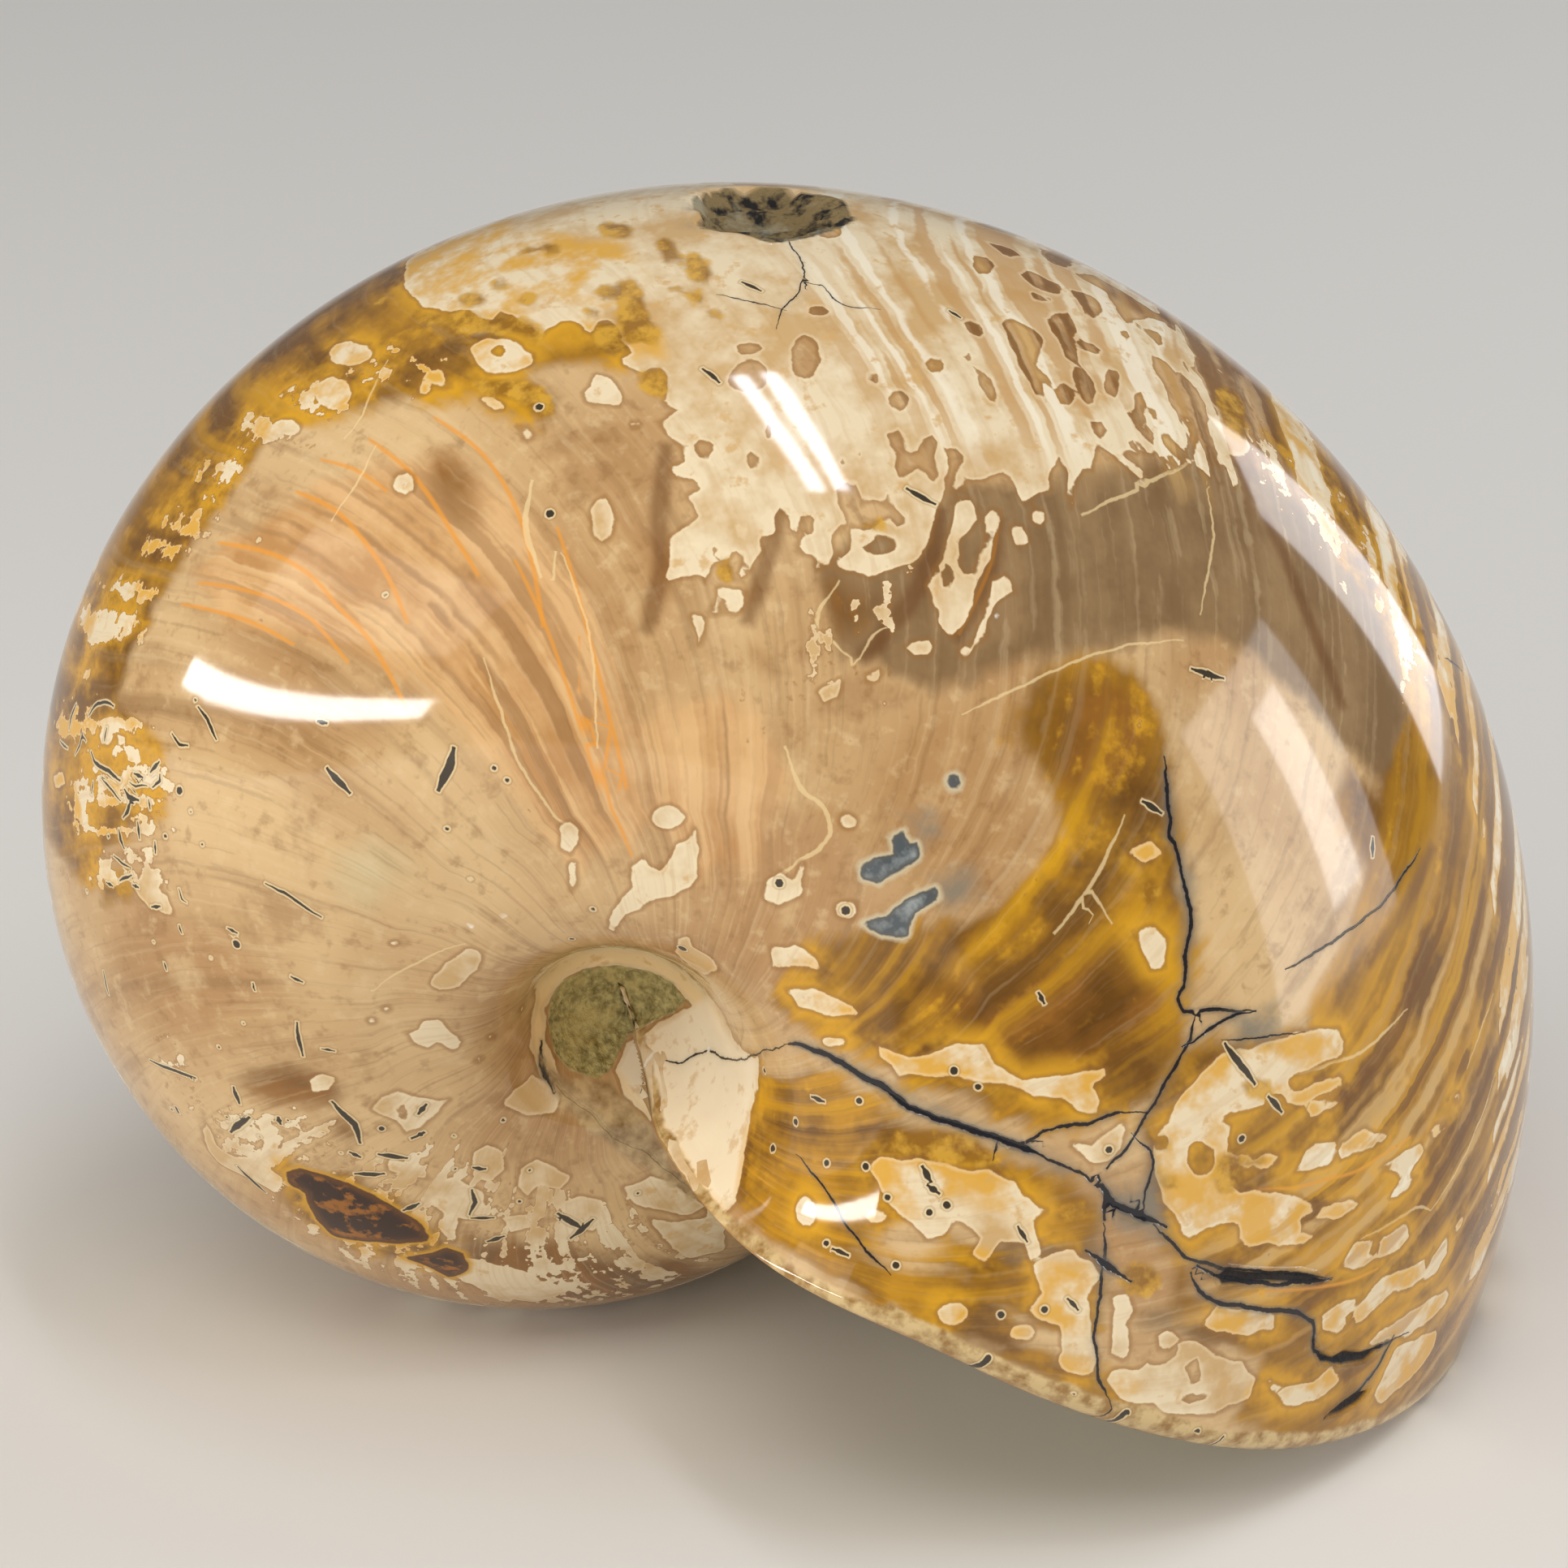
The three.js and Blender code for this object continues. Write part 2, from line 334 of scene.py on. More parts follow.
def oval(first, second):
    """The oval between two corners, as an outline."""
    (x0, y0), (x1, y1) = first, second
    angles = [TURN * k / OVAL_POINTS for k in range(OVAL_POINTS)]
    return [((x0 + x1) / 2 + math.cos(a) * (x1 - x0) / 2, (y0 + y1) / 2 + math.sin(a) * (y1 - y0) / 2)
            for a in angles]


def placed(text):
    """A list of marks as half widths in metres and points on the chart."""
    marks = []
    for width, pixels in read_marks(text):
        is_oval = not width and len(pixels) == 2
        marks.append((width * PIXEL, on_chart(oval(*pixels) if is_oval else pixels)))
    return marks


def mark_out(group, name, text):
    """Place a list of marks and keep it in a group under its name."""
    group[name] = placed(text)
    print(name + ":", len(group[name]), "marks")


# %% [markdown]
# ## Mark out the shell wall
# The cream patches are what the polish left of the shell wall. They lie scattered over the flanks, and on the
# crown they join up to a broad band with a ragged lower edge.

# %% Cream patches, where the shell wall is kept
CREAM = """
left fleck: 335,518 370,538
left fleck: 406,422 460,451
left fleck: 388,465 433,505
fleck: 730,613 756,669
teardrop: 487,581 510,610
hook over the pocket: 531,1210 548,1190 575,1168 592,1172 588,1195 565,1216 540,1220
fleck: 806,992 841,1021
ring: 944,1085 960,1075 978,1088 989,1065 985,1100 960,1114 940,1108
dot: 1035,1005 1053,1019
dot: 1030,1112 1054,1131
leaf: 971,1221 1002,1217 1033,1230 1056,1248 1020,1250 984,1239
small leaf: 953,1168 980,1163 1006,1181 1011,1195 975,1192 953,1190
fleck: 1015,1277 1040,1288
strip: 1082,1288 1118,1302 1145,1302 1176,1288 1211,1287 1229,1311 1260,1333 1302,1324 1333,1321 1361,1316
+ 1361,1327 1345,1336 1358,1354 1351,1370 1327,1367 1309,1354 1260,1339 1198,1329 1109,1324 1087,1302
big one under the crack: 1069,1439 1086,1426 1132,1426 1178,1439 1222,1442 1248,1456 1261,1472 1288,1492
+ 1271,1505 1278,1525 1281,1545 1271,1552 1261,1532 1232,1529 1215,1555 1200,1545 1208,1525 1195,1512
+ 1172,1502 1165,1522 1142,1525 1125,1509 1096,1482 1092,1469
seed: 982,1476 1006,1512
fleck: 1070,1490 1094,1508
lower middle: 1275,1558 1295,1545 1321,1540 1344,1555 1354,1572 1338,1598 1345,1640 1347,1695 1325,1690
+ 1310,1669 1308,1631 1281,1625 1271,1612 1285,1592
hook: 1322,1409 1345,1409 1376,1385 1385,1382 1388,1394 1379,1415 1361,1431 1342,1434
right of the amber: 1397,1149 1422,1140 1434,1155 1434,1192 1419,1194 1407,1168
triangle: 1394,1050 1415,1037 1433,1052 1410,1064
fleck: 1155,1605 1192,1631
fleck: 1245,1633 1275,1651
fleck: 1305,1658 1351,1694
six sided: 582,1420 600,1411 618,1420 622,1440 604,1455 584,1447
ring round a brown eye: 580,430 590,422 602,415 612,420 632,418 645,430 656,437 655,450 640,455 628,458
+ 615,460 600,458 590,450 583,440
brow: 522,470 525,458 540,455 550,463 555,478 545,478 532,472 530,485 520,487
dot: 596,492 605,490 622,500 620,505 605,503
dot: 638,525 645,528 655,535 656,541 645,540
fleck: 718,485 728,475 730,462 742,462 760,475 766,492 764,499 745,498 735,500 722,492
drop: 664,526 671,541
crumb: 780,522 787,528
on the far left: 440,425 455,425 450,440 440,450
big one on the right: 1600,1270 1648,1268 1655,1285 1650,1300 1625,1312 1600,1320 1585,1330 1590,1345
+ 1625,1335 1650,1325 1655,1335 1620,1350 1610,1358 1650,1355 1640,1365 1615,1375 1608,1360 1585,1360
+ 1580,1345 1555,1345 1555,1360 1530,1368 1510,1372 1500,1380 1515,1385 1510,1405 1510,1420 1530,1420
+ 1545,1430 1560,1420 1575,1420 1575,1430 1560,1440 1540,1438 1520,1435 1508,1440 1515,1460 1525,1468
+ 1560,1468 1600,1475 1620,1490 1600,1500 1600,1520 1622,1518 1620,1525 1590,1535 1560,1530 1535,1535
+ 1528,1525 1525,1505 1505,1505 1485,1512 1470,1525 1460,1520 1450,1500 1432,1480 1422,1440 1420,1410
+ 1425,1395 1440,1385 1450,1360 1470,1330 1500,1300 1541,1290
fragment: 1592,1445 1605,1425 1622,1410 1645,1404 1642,1420 1640,1432 1615,1440
fragment: 1645,1410 1680,1390 1692,1400 1695,1410 1650,1428
fragment: 1690,1400 1712,1394 1700,1406
fragment: 1700,1440 1730,1420 1750,1410 1755,1418 1740,1435 1735,1450 1745,1452 1730,1465 1710,1478
+ 1720,1460 1728,1445
fragment: 1760,1398 1768,1388 1780,1382 1782,1390 1765,1400
fragment: 1620,1500 1630,1485 1660,1478 1675,1480 1665,1490 1640,1500
round an amber spot: 1650,1560 1670,1530 1690,1530 1710,1520 1730,1510 1735,1520 1720,1540 1690,1555
+ 1665,1565
sliver: 1755,1575 1762,1550 1775,1530 1782,1520 1780,1545 1765,1572
sliver: 1788,1350 1796,1346 1798,1356 1790,1362
sliver: 1822,1560 1830,1530 1834,1530 1828,1560
sliver: 1790,1510 1802,1498 1800,1510 1792,1518
over the lower slit: 1665,1615 1690,1590 1700,1575 1730,1562 1755,1550 1755,1570 1740,1585 1715,1590
+ 1695,1610 1680,1625 1670,1630
by the lower slit: 1630,1635 1628,1620 1650,1605 1668,1600 1670,1610 1655,1620 1660,1635 1645,1640
under it: 1685,1655 1700,1640 1730,1620 1760,1600 1780,1590 1783,1600 1765,1620 1740,1640 1710,1650
by the foot: 1690,1720 1705,1690 1720,1660 1750,1645 1770,1640 1765,1660 1745,1690 1720,1710 1700,1730
under the slits: 1480,1630 1500,1606 1540,1614 1570,1617 1568,1635 1540,1645 1500,1640
small: 1369,1595 1388,1595 1398,1614 1384,1632 1391,1662 1387,1673 1369,1666 1372,1630
fleck: 1428,1645 1440,1640 1450,1650 1440,1662 1428,1660
bottom: 1400,1688 1412,1676 1424,1684 1440,1680 1452,1670 1455,1655 1470,1652 1480,1656 1500,1670 1530,1680
+ 1545,1700 1540,1720 1500,1740 1470,1740 1440,1740 1420,1725 1400,1730 1380,1720 1362,1700 1370,1688
near the foot: 1560,1700 1580,1710 1620,1700 1640,1680 1650,1700 1620,1725 1580,1730
forked island: 1180,619 1198,618 1201,640 1190,655 1180,665 1180,690 1185,705 1198,708 1208,690 1213,665
+ 1214,640 1222,627 1230,630 1228,650 1215,690 1200,730 1185,770 1170,782 1155,770 1160,755 1150,740
+ 1143,722 1155,700 1168,675 1172,645
drop: 1247,650 1256,645 1264,652 1267,668 1258,675 1247,671
drop: 1267,637 1278,630 1287,632 1286,645 1278,648
streak: 1222,715 1238,709 1250,728 1240,732 1225,745 1216,765 1214,780 1195,805 1187,812 1184,803 1200,785
+ 1210,765 1215,745
leaf: 1115,797 1128,793 1150,789 1142,804 1125,808
island: 885,724 917,726 915,745 905,757 893,752 880,756 872,752 884,738
tooth: 853,760 869,760 866,780 861,794
chip: 1067,832 1085,826 1080,838 1070,842
chip: 1010,852 1022,848 1035,838 1030,856 1016,866
left of the dots: 165,1095 175,1078 190,1072 200,1080 195,1095 205,1105 215,1125 205,1128 185,1118 172,1105
ring: 124,905 128,897 137,898 140,906 136,914 127,913
cell: 146,905 156,908 154,920 147,916
fleck: 66,958 78,953 82,965 70,970
on the lower whorl: 460,1365 470,1350 490,1345 510,1352 530,1355 552,1355 540,1370 520,1385 500,1395
+ 488,1380 474,1372
round a dot: 530,1480 540,1455 560,1450 575,1458 595,1470 600,1490 585,1500 565,1500 560,1530 540,1510
+ 545,1495
near the pocket: 620,1360 635,1340 655,1325 672,1335 690,1350 680,1370 650,1372
net: 255,1382 268,1412 290,1424 318,1426 326,1408 318,1384 332,1386 346,1402 345,1428 332,1440 350,1452
+ 340,1470 318,1456 296,1446 270,1432 250,1404
lumps: 770,1462 800,1450 830,1455 850,1475 870,1485 850,1495 810,1490 780,1480
lump: 640,1440 662,1428 680,1436 700,1450 690,1464 668,1458 650,1470 636,1460
lump: 690,1480 712,1472 742,1480 752,1500 730,1516 700,1506
along the bottom: 560,1545 600,1555 650,1565 700,1590 660,1604 600,1590 560,1572
along the bottom: 800,1500 830,1506 870,1500 905,1510 890,1540 850,1550 820,1530
flecks: 380,1330 398,1322 412,1328 405,1342 386,1344
flecks: 480,1425 520,1440 528,1452 500,1450 476,1440
flecks: 620,1500 650,1496 655,1510 630,1516
big one by the pocket: 857,1023 857,1047 857,1080 850,1090 830,1100 813,1103 793,1117 770,1127 757,1147
+ 750,1143 757,1123 767,1107 783,1093 777,1080 777,1067 793,1057 800,1067 813,1073 827,1053 833,1040
+ 847,1033
soft spots above it: 690,1020 700,1012 712,1022 712,1040 704,1052 694,1045
soft spots above it: 701,1066 708,1062 709,1090 703,1100
by the pocket: 832,1172 836,1158 848,1156 854,1166 880,1180 886,1194 868,1201 850,1190
pale fleck on the flank: 500,1272 515,1268 522,1258 540,1256 556,1272 572,1284 560,1292 540,1284 528,1290
+ 510,1284
crumb: 455,1254 462,1259
crumb: 470,1240 480,1246
crumb: 600,1275 610,1281
crumb: 586,1302 596,1308
crumb: 640,1240 646,1248
crumb: 480,1160 492,1164
"""
mark_out(areas, "cream", CREAM)

# %% The cream band on the crown: its lower edge, from the left round to the right
OVER = 0.5             # how far over the venter such an outline is closed, out of the camera's sight
BAND_EDGE = """
edge: 500,352 520,378 548,384 560,385 575,380 590,390 605,398 612,392 615,385 630,392 650,398 665,415
+ 672,408 690,398 705,395 715,400 725,412 732,408 740,398 755,398 762,405 765,420 775,430 778,438 765,440
+ 770,450 790,460 800,455 815,455 822,465 823,480 818,495 825,500 838,505 825,512 812,520 820,530 832,540
+ 842,550 846,570 826,576 830,588 862,590 866,604 846,612 862,636 845,650 828,662 826,690 822,714 845,708
+ 862,710 868,718 880,695 896,690 903,678 915,680 917,696 906,715 926,698 936,680 938,664 955,658 953,634
+ 962,622 972,640 972,655 984,655 985,636 1002,636 1003,658 986,662 980,678 1004,688 1004,702 1020,698
+ 1026,680 1026,660 1038,640 1034,620 1030,604 1040,595 1054,596 1058,610 1062,624 1076,615 1088,622
+ 1098,604 1101,620 1108,632 1118,628 1114,645 1100,652 1096,640 1082,648 1066,655 1050,652 1046,680
+ 1032,698 1056,705 1070,712 1086,705 1110,698 1130,690 1144,662 1150,640 1156,618 1166,590 1170,576
+ 1165,555 1175,553 1189,567 1178,575 1176,590 1180,606 1190,590 1210,592 1228,583 1240,578 1246,595
+ 1258,615 1264,617 1280,607 1293,602 1294,590 1298,572 1304,563 1310,570 1315,580 1317,600 1318,625
+ 1320,605 1325,590 1332,578 1345,580 1348,560 1352,548 1362,555 1372,562 1380,570 1395,585 1405,592
+ 1425,585 1440,578 1458,570 1475,575 1490,590 1500,582 1520,604 1530,590 1540,600 1560,590 1575,577
+ 1606,608 1643,640 1700,712 1751,788 1795,916 1822,1020 1842,1160 1846,1320 1830,1460 1806,1580
"""


def over_the_venter(text):
    """An area whose edge is all that the camera sees of it: it goes on over the venter."""
    edge = placed(text)[0][1]
    return 0.0, np.vstack([edge, [[edge[-1, 0], OVER], [edge[0, 0], OVER]]])


areas["band"] = [over_the_venter(BAND_EDGE)]
print("the band's edge has", len(areas["band"][0][1]) - 2, "points")

# %% Holes in the cream, down to the grey rock
HOLES = """
brown eye in the ring: 605,425 624,440
along the crown: 1218,300 1230,301 1250,308 1258,318 1240,318 1225,308
along the crown: 1194,313 1205,316 1220,320 1226,328 1218,338 1205,338 1197,330 1200,324
along the crown: 1280,303 1300,310 1320,328 1315,332 1295,325 1282,315
along the crown: 1256,338 1265,335 1285,342 1305,352 1307,362 1300,364 1280,360 1268,352
along the crown: 1270,362 1280,366 1295,370 1293,374 1275,373
along the crown: 1322,360 1340,362 1352,372 1360,385 1352,390 1345,395 1335,397 1334,385
long one on the edge: 1323,338 1345,340 1380,360 1420,385 1455,400 1440,402 1420,395 1400,395 1390,402
+ 1375,385 1360,360 1340,348
large: 1233,400 1243,390 1258,399 1284,418 1282,440 1277,452 1290,462 1300,480 1302,490 1290,478 1284,470
+ 1288,490 1280,497 1270,480 1255,450 1245,425
large: 1285,394 1300,388 1315,386 1322,395 1327,410 1320,415 1325,430 1330,450 1345,470 1349,485 1345,498
+ 1335,497 1325,480 1318,462 1325,450 1312,440 1305,420 1295,408
arm of it: 1325,420 1345,425 1354,432 1350,438 1338,433 1325,430
under it: 1342,520 1358,520 1365,532 1355,541 1345,532
: 1184,400 1192,396 1205,400 1212,410 1205,415 1195,412 1190,405
: 1181,444 1183,438 1195,434 1204,433 1202,442 1190,447
: 1199,453 1208,456 1220,465 1228,480 1227,497 1218,492 1210,478
: 1377,410 1385,408 1391,415 1388,421 1380,420
crooked: 1398,488 1408,483 1410,495 1407,508 1410,520 1405,530 1418,535 1415,540 1402,532 1396,518 1386,512
+ 1398,506
: 1412,502 1420,498 1425,512 1419,516
: 1391,548 1397,541 1403,547 1398,554
: 1417,437 1425,440 1440,450 1455,470 1475,490 1482,500 1472,515 1458,520 1450,515 1440,500 1442,490
+ 1430,470 1420,455
: 1427,535 1435,530 1440,540 1455,555 1462,548 1466,530 1450,520 1470,520 1480,540 1470,562 1458,568
+ 1443,560 1430,550
: 1398,400 1410,405 1430,412 1432,426 1425,430 1420,420 1410,410
: 1455,408 1465,404 1480,415 1490,430 1495,445 1480,440 1465,425
: 1466,455 1480,452 1500,465 1505,480 1515,500 1500,490 1485,475
long: 1515,445 1530,445 1550,465 1560,500 1570,530 1575,550 1585,580 1570,570 1560,545 1545,515 1535,490
+ 1520,465
: 1380,556 1400,558 1420,565 1440,560 1455,568 1440,577 1425,583 1405,579 1388,568
: 1093,483 1122,508
: 1069,461 1082,475
like an x: 1093,535 1105,530 1113,540 1116,555 1130,557 1137,540 1150,535 1156,545 1150,562 1153,580
+ 1157,590 1150,597 1140,590 1135,580 1120,582 1112,590 1105,580 1103,560 1095,550
cross: 855,549 866,541 872,545 879,552 874,560 870,572 866,564 857,556
: 835,588 846,596 862,590 866,604 858,610 842,608
: 919,557 927,554 935,562 934,576 924,579 918,568
: 908,648 916,646 920,654 916,665 909,660
: 853,669 865,675
: 877,672 885,686
: 942,520 950,542
: 1036,566 1044,574
: 1053,556 1060,564
: 905,423 940,440
: 899,445 948,486
: 971,414 1011,468
: 1006,278 1038,296
: 993,379 1020,390
in the fork: 1180,665 1190,656 1205,655 1210,670 1206,685 1196,708 1184,706 1178,690 1184,680
in the fork: 1158,706 1170,698 1178,710 1172,728 1162,724
in the islands: 1060,676 1075,665 1086,656 1100,660 1104,676 1095,685 1070,687
in the island: 884,739 896,750
grey eye: 1464,1412 1478,1407 1496,1414 1499,1432 1490,1446 1474,1448 1463,1434
amber eye: 1426,1399 1440,1418
by the slash: 1502,1378 1530,1388
in the bottom one: 1460,1682 1475,1672 1482,1700 1466,1706
in the bottom one: 1455,1722 1470,1714 1490,1718 1478,1728 1462,1730
in the net: 272,1394 284,1386 300,1388 312,1398 310,1414 294,1420 278,1412
grey ring: 488,1366 498,1360 506,1370 500,1380 490,1376
: 1690,1530 1700,1524 1696,1544 1684,1546
: 1140,440 1165,460
: 1302,470 1322,500
: 1360,455 1378,492
"""
mark_out(areas, "hole", HOLES)

# %% Amber spots on the crown, and amber halos
AMBER_SPOTS = """
: 738,280 745,275 760,277 775,276 780,285 776,294 762,296 745,290
: 640,312 650,306 662,306 672,300 688,302 689,312 680,317 668,309 655,312 643,316
: 607,350 614,343 620,344 625,355 618,359 610,356
: 640,372 648,363 660,366 657,374 648,378
: 734,361 742,353 755,353 762,362 757,370 745,371
: 721,382 728,379 739,385 737,393 727,392
cloud: 808,300 818,294 832,298 838,318 828,332 816,322
cloud: 845,318 858,312 872,326 880,340 868,352 852,346 846,332
: 848,363 858,358 868,368 866,374 855,373
: 872,383 882,381 890,390 885,396 876,392
: 824,354 840,360
tongue: 760,350 780,345 792,362 798,385 812,412 806,426 790,420 780,428 766,420 760,400 764,376
blob: 790,462 800,455 815,455 822,465 823,480 816,490 800,486 790,476
speckle by the junction: 1499,480 1515,478 1530,498 1534,520 1538,542 1522,545 1508,530 1500,505
left of the tongue: 732,408 740,399 755,398 762,406 764,420 772,432 755,436 742,424
: 565,362 600,378
: 465,370 482,384
: 518,388 540,398
eyebrow: 560,390 580,384 600,398 640,392 660,400 672,412 664,424 640,412 600,408 570,412 560,402
halo: 585,470 620,468 655,476 675,488 680,508 668,518 654,506 640,494 600,488
dot in the amber: 1406,1078 1428,1118
halo over the cream: 1086,1420 1100,1395 1150,1389 1200,1400 1228,1425 1228,1439 1160,1430
: 1380,1555 1428,1595
yolk: 1530,1336 1548,1330 1562,1334 1566,1350 1552,1350 1538,1348
yolk: 1502,1424 1520,1420 1545,1430 1560,1422 1556,1436 1530,1436 1512,1450 1522,1466 1502,1468 1494,1450
: 1430,1452 1446,1450 1450,1462 1436,1466
: 1426,1399 1440,1418
: 1060,640 1090,652
: 884,690 905,718
"""
mark_out(areas, "amber_spot", AMBER_SPOTS)

# %% [markdown]
# ## Mark out the stains of the rock, and a little painted light
# Iron stained the rock amber and brown, clay left it grey, and clear calcite shows as slate blue or as deep
# red-brown windows. Two of the brown marks are painted light instead: one is partly painted shade at the
# bottom, and one a painted reflection. Broad stains fade out over their edges, so their outlines are rough.

# %% Amber, which iron left
AMBER = """
above the crack: 955,1235 1010,1165 1100,1140 1230,1120 1330,1040 1290,960 1250,900 1270,835 1340,812
+ 1405,830 1440,930 1455,1080 1462,1180 1448,1235 1458,1290 1420,1360 1330,1385 1230,1375 1120,1330
+ 1030,1280
below the crack: 925,1320 1000,1320 1100,1375 1220,1425 1300,1450 1352,1485 1330,1540 1250,1500 1180,1470
+ 1100,1500 1040,1550 985,1530 930,1480 890,1440
streaks: 1660,940 1750,1040 1780,1150 1760,1260 1700,1220 1690,1080 1640,990
upper middle: 350,520 430,440 560,410 700,390 820,410 825,445 700,445 590,480 460,500
right flank: 1590,1320 1690,1210 1740,1110 1790,1060 1850,1250 1850,1450 1825,1600 1700,1585 1560,1560
+ 1480,1540 1500,1500 1600,1480 1560,1400
along the lip: 870,1440 960,1530 1080,1612 1240,1684 1390,1738 1400,1705 1260,1650 1100,1570 1000,1500
+ 930,1420
foot: 1640,1700 1740,1640 1790,1670 1740,1735 1640,1765
window rim: 345,1432 430,1440 500,1480 560,1530 540,1560 440,1540 360,1490
on the crown: 600,300 690,290 770,300 790,350 740,380 640,360 590,340
round the ring: 570,470 640,465 690,490 680,520 620,500
beside the lip: 1160,1560 1240,1600 1290,1680 1360,1720 1300,1720 1180,1660 1080,1600
under the slits: 1455,1560 1475,1600 1560,1620 1615,1630 1612,1660 1540,1670 1470,1640 1440,1600
between the slits: 1490,1585 1600,1582 1690,1566 1680,1590 1600,1606 1510,1600
bottom right: 1750,1600 1800,1560 1810,1620 1780,1690 1720,1745 1690,1740 1760,1670
at the knot: 120,1080 160,1080 165,1105 130,1112
round the big cream: 1400,1380 1440,1300 1500,1280 1660,1262 1730,1300 1760,1400 1740,1540 1640,1590
+ 1500,1570 1440,1530 1410,1460
below the junction: 1160,1520 1260,1560 1330,1560 1350,1640 1290,1640 1200,1600
foot: 1560,1660 1680,1650 1720,1740 1640,1765 1520,1750
"""
mark_out(areas, "amber", AMBER)

# %% Amber that runs over the venter to the far flank: the edge that the camera sees
LEFT_AMBER = """
edge: 640,400 560,425 455,470 350,520 262,640 192,752 150,850 190,930 196,1000 130,1050 112,1090
"""
RIGHT_AMBER = """
edge: 1560,540 1640,660 1700,770 1740,880 1700,960 1690,1060 1660,1160 1630,1220 1590,1320 1560,1400
+ 1580,1470 1480,1540 1500,1600 1560,1650 1660,1680 1720,1740
"""
areas["amber"] += [over_the_venter(LEFT_AMBER), over_the_venter(RIGHT_AMBER)]
print("amber:", len(areas["amber"]), "marks with those over the venter")

# %% The other broad stains; among the brown ones are painted shade and a painted reflection
GREY = """
on the shoulder: 1010,700 1100,650 1240,600 1330,600 1500,560 1600,620 1700,760 1790,960 1770,1010 1690,960
+ 1600,860 1500,780 1400,790 1280,810 1150,850 1040,810
between the islands: 1172,600 1300,610 1280,740 1180,800 1110,760
between the cracks: 1300,1460 1350,1500 1345,1640 1240,1600 1170,1560 1220,1540
at the foot: 1410,1620 1500,1590 1560,1640 1480,1660
"""
mark_out(areas, "grey", GREY)
PEACH = """
upper left: 240,700 380,610 560,570 660,680 760,860 805,1010 720,1060 620,940 520,860 420,800 300,780
by the foot: 1470,1620 1517,1612 1569,1612 1602,1632 1613,1658 1594,1677 1546,1669
middle: 780,900 900,860 960,960 940,1060 860,1080
"""
mark_out(areas, "peach", PEACH)
GREEN = """
left of the pocket: 400,1030 450,1005 530,1020 535,1090 470,1150 400,1130 370,1080
"""
mark_out(areas, "green", GREEN)
# among the brown marks, 'at the bottom' is partly painted shade low between the whorls, and 'cloud' is a
# painted reflection of a window in the polish
BROWN = """
along the crown: 1325,350 1400,340 1472,395 1465,420 1380,380
beside the pit: 792,246 850,236 872,250 850,268 800,262
by the window: 400,1372 430,1380 445,1412 420,1408
knot on the left: 125,1075 160,1078 165,1095 140,1112 122,1098
round the islands: 985,710 1030,690 1060,720 1120,715 1110,750 1060,800 1010,790 1000,750
left of the crown: 806,540 832,560 820,620 826,700 808,760 800,700 804,620
left of the islands: 942,660 962,655 945,720 925,760 912,750 930,700
dark amber: 1268,890 1290,842 1340,815 1396,830 1432,925 1446,1010 1400,1030 1330,1000 1270,960
dark amber: 1110,1200 1240,1180 1380,1150 1440,1200 1440,1300 1380,1350 1260,1330 1160,1280
cloud: 512,560 556,545 596,575 600,640 560,655 522,622
under the crown: 925,800 965,812 1010,804 1040,822 1000,840 940,838
at the bottom: 560,1500 700,1515 860,1535 900,1560 800,1600 640,1606 540,1560
stain on the left: 270,1326 300,1300 350,1290 410,1312 452,1344 420,1374 350,1364 300,1350
under the stain: 380,1370 430,1366 466,1392 452,1430 410,1412
"""
mark_out(areas, "brown", BROWN)

# %% Slate-blue bones of calcite, with their haze, and red-brown windows
SLATE = """
upper bone: 1060,1065 1080,1055 1100,1052 1096,1030 1114,1022 1120,1038 1131,1038 1133,1056 1109,1072
+ 1085,1087 1062,1082
lower bone: 1064,1137 1091,1128 1122,1105 1154,1092 1158,1108 1127,1125 1118,1154 1087,1154
dot: 1166,953 1184,973
"""
mark_out(areas, "slate", SLATE)
SLATE_HAZE = """
upper: 1105,1000 1150,990 1175,1030 1130,1060
lower: 1140,1070 1216,1062 1216,1110 1150,1140
by the nick: 1500,1240 1585,1236 1580,1290 1520,1300
main crack: 1000,1285 1090,1325 1200,1380 1300,1415 1340,1440 1330,1460 1200,1405 1080,1350
up the crack: 1425,920 1455,1010 1480,1120 1470,1230 1448,1230 1450,1120 1430,1020
by the junction: 1340,1445 1392,1458 1424,1405 1448,1500 1440,1540 1365,1520
"""
mark_out(areas, "slate_haze", SLATE_HAZE)
WINDOWS = """
first: 353,1445 369,1438 403,1448 437,1460 458,1470 491,1489 517,1506 529,1523 525,1529 491,1531 462,1529
+ 437,1527 411,1523 390,1502 374,1468 357,1458
second: 496,1548 534,1542 550,1536 571,1544 578,1557 576,1565 555,1574 529,1559
"""
mark_out(areas, "window", WINDOWS)

# %% The rough pit on the crown, where the wall is speckled, and where ribs still show
PIT = """
rough pit on the crown: 837,258 860,240 880,232 960,229 1035,240 1042,262 1020,275 989,280 944,291 908,289
+ 872,275
"""
mark_out(areas, "pit", PIT)
SPECKLED = """
upper left: 366,470 430,430 560,410 600,470 460,500 350,560 255,680 170,800 110,860 85,840 110,740 180,650
+ 290,520
lower left: 180,1230 260,1330 420,1380 620,1420 800,1480 900,1540 800,1600 640,1610 440,1560 300,1450
+ 190,1320
left edge: 70,860 190,860 240,980 220,1110 120,1110 75,1000
middle: 900,780 1020,700 1120,700 1100,800 1000,930 920,920
right of the grey: 1480,480 1620,560 1760,780 1800,900 1740,860 1620,680 1500,570
"""
mark_out(areas, "speckled", SPECKLED)
RIBBED = """
right flank: 1590,560 1700,740 1790,930 1800,1060 1740,1120 1690,1210 1620,1330 1590,1440 1480,1540
+ 1500,1600 1560,1650 1660,1680 1740,1740 1850,1560 1900,1250 1870,1000 1760,720 1640,560
crown: 960,240 1200,262 1400,340 1560,430 1620,560 1540,620 1420,580 1340,560 1240,570 1150,540 1060,480
+ 1000,380
"""
mark_out(areas, "ribbed", RIBBED)

